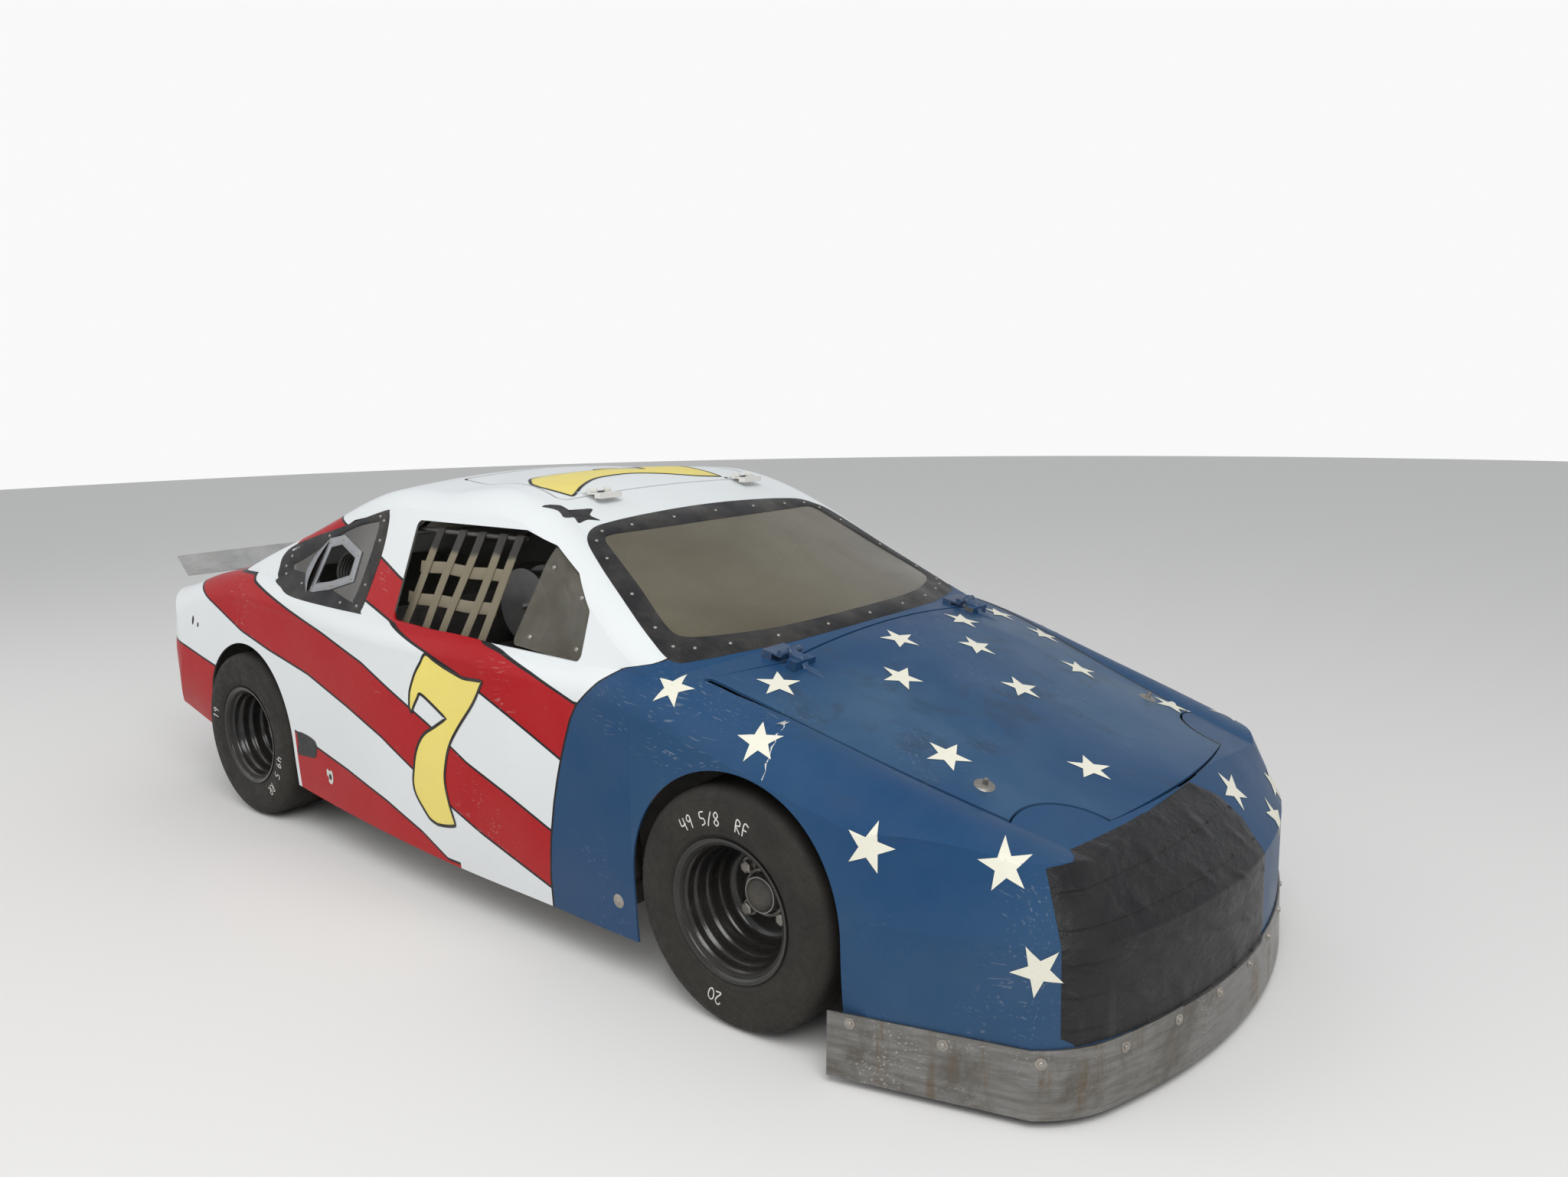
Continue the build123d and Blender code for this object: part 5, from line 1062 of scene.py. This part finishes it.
def makeNumber(name, carry, direction, target, body):
    # carry turns the flat drawing into places near the skin; the last row of the stem meets the top edge
    stem = ruledRows(number["stemLeft"], number["stemRight"][:10], 4, 13)
    topLine = smoothLoop(number["topEdge"], 3, closed=False)
    share = np.linspace(0, 1, 8)[:, None, None]
    flats = [ruledRows(number["barBottom"], number["barTop"], 4, 9), stem, stem[-1] * (1 - share) + topLine * share]
    buildPiece(name, joinParts([sheetPart(carry(flat), direction, target) for flat in flats]), numberYellow, body)
    rows = [number["stemRight"], number["topEdge"][::-1], number["barTop"][::-1], number["barBottom"],
            number["stemLeft"][::-1]]
    loop = np.concatenate([smoothLoop(row, 4, closed=False)[:-1] for row in rows])
    grid = stripPart(carry(loop), number["outline"], direction, across=3)
    buildPiece(name + "Outline", sheetPart(grid, direction, target, 0.0008, loopRows=True), lineBlack, body)


def onDoor(side):
    return lambda flat: np.stack([-side * flat[..., 0], np.full(flat.shape[:-1], side * 0.5), flat[..., 1]], -1)


def onRoof(flat):
    # the roof's number is half as tall again and leans back
    roof = number["roof"]
    wide, tall = roof["stretch"]
    x, z = flat[..., 0] + roof["shift"], flat[..., 1] - roof["foot"]
    ahead, aside, high = roof["place"]
    return np.stack([ahead + wide * x - roof["lean"] * z, aside + tall * z, np.full(x.shape, high)], -1)


makeNumber("numberRight", onDoor(-1), (0, 1, 0), sideSkin[-1], "chassis")
makeNumber("numberLeft", onDoor(1), (0, -1, 0), sideSkin[1], "chassis")
makeNumber("numberRoof", onRoof, (0, 0, -1), topSkin, "roof_hatch")
print("numbers ready")

# cover over the grille: strips of tape, each over the one below, drawn tight with folds

tape = {
    "rightEdge": [(0.108, -0.408), (0.121, -0.4225), (0.263, -0.4205), (0.369, -0.403)],
    "leftEdge": [(0.100, 0.060), (0.128, 0.085), (0.260, 0.073), (0.325, 0.082), (0.346, 0.05), (0.369, 0.0)],
    "bottom": [(-0.42, 0.113), (-0.378, 0.115), (-0.069, 0.108), (0.047, 0.105), (0.09, 0.107)],
    "top": [(-0.42, 0.346), (-0.407, 0.350), (-0.400, 0.3535), (-0.392, 0.3545), (-0.38, 0.355), (-0.27, 0.3625),
            (-0.172, 0.368), (0.003, 0.371), (0.06, 0.364), (0.09, 0.330)],
    "foot": 0.105,
    "height": 0.264,
    "strip": 0.046,
    "overlap": 0.0020,
    "fold": 0.0034,
    "rows": 150,
    "columns": 220,
}


def makeTapeCover():
    # places are ruled between the four edges; a strip's lower edge stands proud, folds are slanting sine ridges
    v, u = np.meshgrid(np.linspace(0, 1, tape["rows"]), np.linspace(0, 1, tape["columns"]), indexing="ij")
    edges = {key: np.array(tape[key]) for key in ("rightEdge", "leftEdge", "bottom", "top")}
    high = tape["foot"] + tape["height"] * v
    right, left = (np.interp(high, *edges[key].T) for key in ("rightEdge", "leftEdge"))
    y = right + (left - right) * u
    low, top = (np.interp(y, *edges[key].T) for key in ("bottom", "top"))
    z = low + (top - low) * v
    points = np.stack([np.full(y.shape, 1.34), y, z], -1)
    grid = settle(points, (-1, 0, 0), noseSkin, 0.0, 0.2)
    place = z / tape["strip"] + 0.06 * np.sin(y * 9.0)
    lap = tape["overlap"] * (1 - (place % 1.0)) ** 1.5
    ridge = np.sin(y * 60 + z * 95 + 2 * np.sin(z * 30)) * np.sin(y * 21 - z * 33 + 1.0)
    folds = tape["fold"] * np.clip(ridge, 0, 1) ** 3 * (0.3 + 0.7 * np.sin(place * 2.1 + y * 8) ** 2)
    rim = np.clip(np.minimum.reduce([u, 1 - u, v, 1 - v]) * 30, 0, 1)
    normals = np.cross(np.gradient(grid, axis=1), np.gradient(grid, axis=0))
    normals /= np.maximum(np.linalg.norm(normals, axis=-1), 1e-9)[..., None]
    normals *= np.sign(normals[..., :1])
    grid = grid + normals * (0.0003 + rim * (0.0006 + lap + folds))[..., None]
    cover = buildPiece("tapeCover", orientPart(gridPart(grid), (1, 0, 0)), blackTape, "chassis")
    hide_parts("grille_cover")


makeTapeCover()
print("tape cover ready")

# bolts along the valance (from the right to the middle), a disc low on each side panel, and pins of the hood

fasteners = {
    "valance": [(0.958, -0.523, 0.100), (1.090, -0.487, 0.096), (1.218, -0.445, 0.095), (1.291, -0.337, 0.095),
                (1.322, -0.225, 0.096), (1.341, -0.113, 0.096), (1.347, 0.003, 0.095)],
    "boltHead": [(0.0, 0.0040), (0.0030, 0.0040), (0.0042, 0.0030), (0.0045, 0.0012), (0.0080, 0.0010),
                 (0.0083, 0.0)],
    "disc": [(0.0, 0.0028), (0.0035, 0.0030), (0.0048, 0.0018), (0.0105, 0.0014), (0.0125, 0.0)],
    "discPlaces": [(0.475, 0.151)],
    "pin": [(0.0, 0.0120), (0.0035, 0.0115), (0.0045, 0.0030), (0.0130, 0.0022), (0.0165, 0.0)],
    "pinPlaces": [(1.048, -0.303, 0.42), (1.048, 0.303, 0.42)],
}


def makeFasteners():
    places = np.array(fasteners["valance"])
    places = np.concatenate([places, places[-2::-1] * (1, -1, 1)])
    ahead = np.gradient(places, axis=0)
    facing = np.cross(ahead, (0, 0, 1))
    facing /= np.linalg.norm(facing, axis=1)[:, None]
    found = [skinNormals(place[None], -normal, noseSkin) for place, normal in zip(places, facing)]
    points, normals = (np.concatenate(rows) for rows in zip(*found))
    bolt, disc, pin = (turnPart(fasteners[key], segments)
                       for key, segments in (("boltHead", 18), ("disc", 24), ("pin", 24)))
    buildHardware("valanceBolts", repeatPart(bolt, placeFrames(points, normals)), sharpAngle=35)
    parts = []
    for side in (-1, 1):
        rows = np.insert(np.array(fasteners["discPlaces"]), 1, side * 0.5, axis=1)
        points, normals = skinNormals(rows, (0, -side, 0), sideSkin[side])
        parts.append(repeatPart(disc, placeFrames(points, normals)))
    buildHardware("panelFasteners", joinParts(parts), sharpAngle=35)
    points, normals = skinNormals(np.array(fasteners["pinPlaces"]), (0, 0, -1), hoodSkin)
    buildHardware("hoodPins", repeatPart(pin, placeFrames(points, normals)), "hood", sharpAngle=35)


makeFasteners()
print("fasteners ready")

# window nets: straps looped round the door bar and the roof bar, with two cross straps behind them

nets = {
    "lowX": (-0.255, -0.180, -0.120, -0.048, 0.005),
    "highX": (-0.147, -0.078, -0.018, 0.051, 0.102),
    "lowBar": (0.430, 0.488, 0.0112),        # distance from the middle, height, radius of the strap's loop
    "highBar": (0.381, 0.724, 0.0062),
    "lean": 12.9,            # degrees
    "wrap": (-190, 200),
    "halfWidth": 0.012,
    "halfThickness": 0.001,
    "cross": [(0.587, -0.235, 0.055), (0.652, -0.205, 0.080)],
    "section": [(-1, 0.4), (-0.93, 1), (0.93, 1), (1, 0.4), (1, -0.4), (0.93, -1), (-0.93, -1), (-1, -0.4)],
}


def strapPart(path, across, outward):
    # an eight-sided flat section carried along a path, closed by a point at each end
    section = np.array(nets["section"]) * (nets["halfWidth"], nets["halfThickness"])
    grid = path[:, None] + across[:, None] * section[None, :, :1] + outward[:, None] * section[None, :, 1:]
    grid = capGrid(grid, path[0], path[-1])
    length = np.concatenate([[0], np.cumsum(np.linalg.norm(np.diff(path, axis=0), axis=1))])
    length = np.concatenate([length[:1], length, length[-1:]])
    uv = np.stack([np.tile(section[:, 0], (len(length), 1)), np.tile(length[:, None], (1, 8))], -1)
    return gridPart(grid, loopColumns=True), uv.reshape(-1, 2)


def makeNet(side, hand):
    # in the (out, up) plane: an arc under the door bar, a straight run, and an arc over the roof bar
    lowUp, highUp = nets["lowBar"][1], nets["highBar"][1]
    lowArc = np.radians(np.linspace(nets["wrap"][0], nets["lean"], 18))
    highArc = np.radians(np.linspace(nets["lean"], nets["wrap"][1], 16))
    lowLoop, highLoop = (np.array(bar[:2]) + bar[2] * np.stack([np.cos(arc), np.sin(arc)], -1)
                         for bar, arc in ((nets["lowBar"], lowArc), (nets["highBar"], highArc)))
    start, end = lowLoop[-1], highLoop[0]
    run = np.linspace(0, 1, 26)[1:-1, None]
    flat = np.concatenate([lowLoop, start * (1 - run) + end * run, highLoop])
    lean = math.radians(nets["lean"])
    angle = np.concatenate([lowArc, np.full(len(run), lean), highArc])
    outward = np.stack([0 * angle, side * np.cos(angle), np.sin(angle)], -1)
    share = np.clip((flat[:, 1] - lowUp) / (highUp - lowUp), 0, 1)
    parts = []
    for index, (low, high) in enumerate(zip(nets["lowX"], nets["highX"])):
        x = low + (high - low) * share + 0.0022 * np.sin(share * 5 + index * 1.7)
        path = np.stack([x, side * flat[:, 0], flat[:, 1]], -1)
        parts.append(strapPart(path, np.tile([1.0, 0, 0], (len(path), 1)), outward))
    for up, rear, front in nets["cross"]:
        x = np.linspace(rear, front, 40)
        level = (up - lowUp) / (highUp - lowUp)
        out = start[0] + (end[0] - start[0]) * level - 0.0022
        path = np.stack([x, np.full(40, side * out), up + 0.0015 * np.sin(x * 40)], -1)
        tilt = np.array([0, side * math.cos(lean), math.sin(lean)])
        upward = np.array([0, -side * math.sin(lean), math.cos(lean)])
        parts.append(strapPart(path, np.tile(upward, (40, 1)), np.tile(tilt, (40, 1))))
    net = buildPiece("windowNet" + hand, joinParts([part for part, uv in parts]), netWebbing, "chassis",
                     sharpAngle=60, uv=np.concatenate([uv for part, uv in parts]))
    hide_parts("window_net_" + hand.lower())


makeNet(-1, "Right")
makeNet(1, "Left")
print("window nets ready")

# vent: a flat hexagonal frame with a raised flap at its rear, and a ribbed duct behind the pane

vent = {
    "outer": [(-0.582, 0.566), (-0.541, 0.686), (-0.483, 0.697), (-0.395, 0.668), (-0.400, 0.606), (-0.487, 0.582)],
    "inner": [(-0.558, 0.588), (-0.528, 0.668), (-0.484, 0.677), (-0.416, 0.654), (-0.420, 0.618), (-0.492, 0.599)],
    "flapOuter": [(-0.600, 0.566), (-0.614, 0.590), (-0.617, 0.612), (-0.592, 0.648), (-0.543, 0.688)],
    "flapInner": [(-0.588, 0.566), (-0.578, 0.590), (-0.569, 0.612), (-0.558, 0.648), (-0.540, 0.686)],
    "flapRise": (0.0010, 0.0160),
    "flapThickness": 0.0012,
    "thickness": 0.0030,
    "shares": (0.0, 0.0, 0.04, 0.96, 1.0, 1.0),     # across the frame
    "lift": (0.0, 0.85, 1.0, 1.0, 0.85, 0.0),       # in thicknesses
    "ductPlace": (-0.470, -0.425, 0.632),
    "ductAxis": (0.0, -0.938, 0.347),
    "ductRadius": 0.036,
    "ductStart": -0.080,
    "ductEnd": -0.012,
    "ribs": 9,
    "ribHeight": 0.0011,
}
panes = {
    "middle": (-0.487, 0.640),
    "inset": 0.004,
    "underFrame": 0.002,
    "thickness": 0.0025,
}


def settleBeside(flat, side, lift=0.0):
    # (length, height) places on the quarter's skin
    return settle(np.insert(flat, 1, side * 0.45, axis=2), (0, -side, 0), sideSkin[side], lift)


def makeVent():
    # the frame's edges are straight between its corners, and its rim turns down to the pane
    inner, outer = (straightLoop(np.array(vent[key]), 8) for key in ("inner", "outer"))
    grid = settleBeside(ruleGrid(inner, outer, vent["shares"]), -1)
    grid[..., 1] -= np.array(vent["lift"]) * vent["thickness"]
    frameObject = buildPiece("ventFrame", orientPart(gridPart(grid, loopRows=True), (0, -1, 0)), ventMetal, "chassis",
                             sharpAngle=45)
    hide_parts("window_vent")
    grid = settleBeside(ruledRows(vent["flapOuter"], vent["flapInner"], 6, 6), -1)
    low, high = vent["flapRise"]
    grid[..., 1] -= low + (high - low) * np.linspace(0, 1, 6) * np.sin(np.linspace(0.25, 3.0, len(grid)))[:, None]
    flap = buildPiece("ventFlap", orientPart(gridPart(grid), (0, -1, 0)), ventMetal, "chassis")
    solid = flap.modifiers.new("thickness", "SOLIDIFY")
    solid.thickness = vent["flapThickness"]
    heads = (np.array(vent["outer"]) + vent["inner"]) / 2
    points, normals = skinNormals(np.insert(heads, 1, -0.45, axis=1), (0, 1, 0), sideSkin[-1])
    buildHardware("ventRivets", repeatPart(rivetHead, placeFrames(points + normals * vent["thickness"], normals)))
    along = np.linspace(vent["ductStart"] + 0.004, vent["ductEnd"], vent["ribs"] * 8)
    ripple = vent["ribHeight"] * np.cos((along - along[0]) / (along[-1] - along[0]) * 2 * math.pi * vent["ribs"])
    outerWall = np.stack([vent["ductRadius"] - 0.0012 + ripple, along], -1)
    innerWall = np.stack([vent["ductRadius"] - 0.0034 + ripple, along], -1)[::-1]
    back = np.array([(0.0, vent["ductStart"] + 0.006), (0.0, vent["ductStart"]),
                     (vent["ductRadius"] - 0.004, vent["ductStart"])])
    part = turnPart(np.concatenate([back, outerWall, innerWall]), 48, vent["ductPlace"], vent["ductAxis"], closed=True)
    duct = buildPiece("ventDuct", part, ductPlastic, "chassis")
    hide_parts("vent_duct")


makeVent()


def rayReach(polygon, middle, angle):
    # how far a ray from the middle runs before it crosses each side of a closed outline; the nearest is kept
    start, end = np.asarray(polygon, float) - middle, np.roll(polygon, -1, 0) - middle
    ray = np.stack([np.cos(angle), np.sin(angle)], -1)[:, None]
    side = (end - start)[None]
    crossing = ray[..., 0] * side[..., 1] - ray[..., 1] * side[..., 0]
    reach = (start[None, :, 0] * side[..., 1] - start[None, :, 1] * side[..., 0]) / crossing
    share = (start[None, :, 0] * ray[..., 1] - start[None, :, 1] * ray[..., 0]) / crossing
    return np.where((share >= -1e-9) & (share <= 1 + 1e-9) & (reach > 0), reach, 9.0).min(1)


def makeQuarterPanes():
    # each pane runs from its outline inwards, on the right to the hole in the vent's frame
    middle = np.array(panes["middle"])
    angle = np.linspace(0, 2 * math.pi, 120, endpoint=False)
    ray = np.stack([np.cos(angle), np.sin(angle)], -1)
    outer = rayReach(smoothLoop(borders["quarterOuter"], 4), middle, angle) - panes["inset"]
    hole = rayReach(vent["inner"], middle, angle) + panes["underFrame"]
    share = np.linspace(0, 1, 16)[:, None]
    parts = []
    for side, start in ((-1, hole), (1, 0 * hole)):
        flat = middle + ray[None] * (start * (1 - share) + outer * share)[..., None]
        near = settleBeside(flat, side, 0.0001)
        far = near - (0, side * panes["thickness"], 0)
        parts.append(gridPart(np.concatenate([near, far[::-1]]), loopRows=True, loopColumns=True))
    glass = buildPiece("quarterPanes", joinParts(parts), smokedGlass, "chassis",
                       sharpAngle=40)
    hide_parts("quarter_windows")


makeQuarterPanes()
print("vent and quarter panes ready")

# small marks and repairs: outlines in place, the direction they are thrown in, the skin and the finish

marks = {
    "roofRepair": ([(0.120, -0.347, 0.78), (0.134, -0.312, 0.78), (0.150, -0.322, 0.78), (0.160, -0.292, 0.78),
                    (0.168, -0.264, 0.78), (0.186, -0.286, 0.77), (0.207, -0.280, 0.77), (0.197, -0.302, 0.77),
                    (0.200, -0.327, 0.77), (0.181, -0.322, 0.77), (0.176, -0.341, 0.77), (0.150, -0.334, 0.78)],
                   (0, 0, -1), "top", "tape"),
    "patch": ([(-0.607, -0.5, 0.251), (-0.525, -0.5, 0.244), (-0.531, -0.5, 0.206), (-0.575, -0.5, 0.199),
               (-0.618, -0.5, 0.197), (-0.612, -0.5, 0.225)], (0, 1, 0), "right", "tape"),
    "rockerChip": ([(-0.481, -0.5, 0.190), (-0.470, -0.5, 0.187), (-0.460, -0.5, 0.190), (-0.455, -0.5, 0.178),
                    (-0.459, -0.5, 0.163), (-0.468, -0.5, 0.157), (-0.478, -0.5, 0.161), (-0.476, -0.5, 0.170),
                    (-0.484, -0.5, 0.176)], (0, 1, 0), "right", "chip"),
    # painted shade: a black disc stands in for the shaded inside of the hole in the rocker
    "rockerHole": ([(-0.468 + 0.007 * math.cos(a), -0.5, 0.174 + 0.007 * math.sin(a)) for a in range(7)],
                   (0, 1, 0), "right", "black"),
    "tailChip": ([(-1.112, -0.47, 0.438), (-1.106, -0.47, 0.444), (-1.104, -0.47, 0.456), (-1.109, -0.47, 0.461),
                  (-1.113, -0.47, 0.450)], (0, 1, 0), "right", "black"),
    "tailChipLow": ([(-1.087, -0.47, 0.436), (-1.081, -0.47, 0.437), (-1.080, -0.47, 0.446), (-1.085, -0.47, 0.446)],
                    (0, 1, 0), "right", "black"),
}
markSkins = {"top": topSkin, "right": sideSkin[-1]}
markFinishes = {"tape": blackTape, "black": lineBlack, "chip": chipWhite}
for name, (outline, direction, skinName, finish) in marks.items():
    lift = 0.0003 if finish == "chip" else 0.0006
    part = sheetPart(fanGrid(outline), direction, markSkins[skinName], lift, loopColumns=True)
    buildPiece(name, part, markFinishes[finish], "chassis")

crack = {
    "path": [(0.771, -0.45, 0.493), (0.775, -0.45, 0.490), (0.779, -0.46, 0.486), (0.778, -0.46, 0.480),
             (0.781, -0.46, 0.476), (0.785, -0.47, 0.471), (0.784, -0.48, 0.466), (0.786, -0.48, 0.462),
             (0.789, -0.49, 0.452), (0.788, -0.49, 0.445), (0.792, -0.5, 0.436), (0.790, -0.5, 0.424)],
    "halfWidth": 0.0012,
}
row = np.array(crack["path"])
ragged = crack["halfWidth"] * (0.6 + 0.5 * np.sin(np.arange(len(row)) * 2.3))
buildPiece("paintCrack", sheetPart(stripPart(row, ragged[:, None], (0, 1, 0), closed=False), (0, 1, 0), clipSkin),
           chipWhite, "chassis")
print("marks ready")

# hinge blades on the hood, coils round the dampers, screws of the wing panes

blades = {
    "start": 0.672,
    "length": 0.068,
    "sides": (-0.285, 0.285),
    "halfWidth": 0.0105,
    "rise": 0.0085,
}
coils = {
    "units": [((0.750, 0.272, 0.213), (0.779, 0.259, 0.360)), ((0.750, -0.272, 0.213), (0.779, -0.259, 0.360))],
    "from": 0.24,
    "to": 0.80,
    "radius": 0.0235,
    "wire": 0.0031,
    "turns": 6,
}
wingScrews = np.array([(0.335, 0.556), (0.205, 0.562), (0.224, 0.684), (0.318, 0.640)])


def makeBlades():
    # a half-round section that narrows and sinks to a point, standing on the hood's skin
    s = np.linspace(0, 1, 22)[:, None]
    angle = np.linspace(0, math.pi, 13)[None, :]
    parts = []
    for side in blades["sides"]:
        across = blades["halfWidth"] * (1 - s) ** 0.55 * np.cos(angle)
        x = blades["start"] + blades["length"] * s + 0 * angle
        foot = settle(np.stack([x, side + across, 0.55 + 0 * across], -1), (0, 0, -1), hoodSkin, 0.0)
        foot[..., 2] += blades["rise"] * (1 - s) ** 0.7 * np.sin(angle)
        parts.append(orientPart(gridPart(foot), (0, 0, 1)))
    buildPiece("hingeBlades", joinParts(parts), hingePaint, "hood")


def makeCoils():
    # a round wire on a helix about each damper's axis
    parts = []
    for low, high in coils["units"]:
        low, high = np.array(low), np.array(high)
        frameX, frameY, frameZ = axisFrame(high - low)
        t = np.linspace(0, 1, coils["turns"] * 28)[:, None]
        turn = 2 * math.pi * coils["turns"] * t
        ring = np.cos(turn) * frameX + np.sin(turn) * frameY
        line = low + (high - low) * (coils["from"] + (coils["to"] - coils["from"]) * t) + ring * coils["radius"]
        angle = np.linspace(0, 2 * math.pi, 10, endpoint=False)[None, :, None]
        tube = line[:, None] + coils["wire"] * (np.cos(angle) * ring[:, None] + np.sin(angle) * frameZ)
        parts.append(gridPart(capGrid(tube, line[0], line[-1]), loopColumns=True))
    buildPiece("springCoils", joinParts(parts), blackSteel, "chassis")


makeBlades()
makeCoils()
screws = []
for side in (-1, 1):
    rows = np.insert(wingScrews, 1, side * 0.40, axis=1)
    points, normals = skinNormals(rows, (0, -side, 0), nodes["wing_windows"])
    screws.append(repeatPart(rivetHead, placeFrames(points, normals, 1.3)))
buildHardware("wingScrews", joinParts(screws))
print("hinge blades, coils and screws ready")

# floor, lamps and world

stage = {
    "floorRadius": 14.0,
    "floor": (0.74, 0.73, 0.71, 1),
    "keyPlace": (2.6, -2.2, 3.6),
    "keySize": 2.6,
    "keyPower": 120,
    "fillPlace": (-2.5, -3.0, 2.4),
    "fillSize": 4.0,
    "fillPower": 45,
    "sky": (0.95, 0.97, 1.0, 1),
    "skyStrength": 0.62,
}


def makeStage(values):
    ring = np.linspace(0, 2 * math.pi, 96, endpoint=False)
    reach = np.linspace(0.0, 1.0, 5) * values["floorRadius"]
    grid = np.stack([reach[:, None] * np.cos(ring), reach[:, None] * np.sin(ring), np.zeros((5, 96))], -1)
    vertices, faces = gridPart(grid, loopColumns=True)
    mesh = bpy.data.meshes.new("floor")
    mesh.from_pydata(vertices.tolist(), [], faces[:, ::-1].tolist())
    material, desk, sockets = newMaterial("floorFinish")
    desk.join(values["floor"], sockets["Base Color"])
    sockets["Roughness"].default_value = 0.9
    mesh.materials.append(material)
    floor = bpy.data.objects.new("floor", mesh)
    scene.collection.objects.link(floor)
    for name in ("key", "fill"):
        lamp = bpy.data.lights.new(name + "Lamp", "AREA")
        lamp.size = values[name + "Size"]
        lamp.energy = values[name + "Power"]
        holder = bpy.data.objects.new(name + "Lamp", lamp)
        start = Vector(values[name + "Place"])
        holder.location = start
        holder.rotation_euler = (Vector((0, 0, 0.3)) - start).to_track_quat("-Z", "Y").to_euler()
        scene.collection.objects.link(holder)
    world = bpy.data.worlds.new("studio")
    scene.world = world
    world.use_nodes = True
    desk = NodeDesk(world.node_tree)
    back = world.node_tree.nodes["Background"]
    path = desk.add("ShaderNodeLightPath")
    shown = desk.math("MAXIMUM", path.outputs["Is Camera Ray"], path.outputs["Is Transmission Ray"])
    desk.join(desk.mix(shown, values["sky"], (1.0, 1.0, 1.0, 1)), back.inputs["Color"])
    desk.join(desk.math("MAXIMUM", desk.times(shown, 0.95), values["skyStrength"]), back.inputs["Strength"])


makeStage(stage)
print("stage ready")

for skin in (*sideSkin.values(), topSkin, hoodSkin, noseSkin, clipSkin):
    bpy.data.objects.remove(skin)
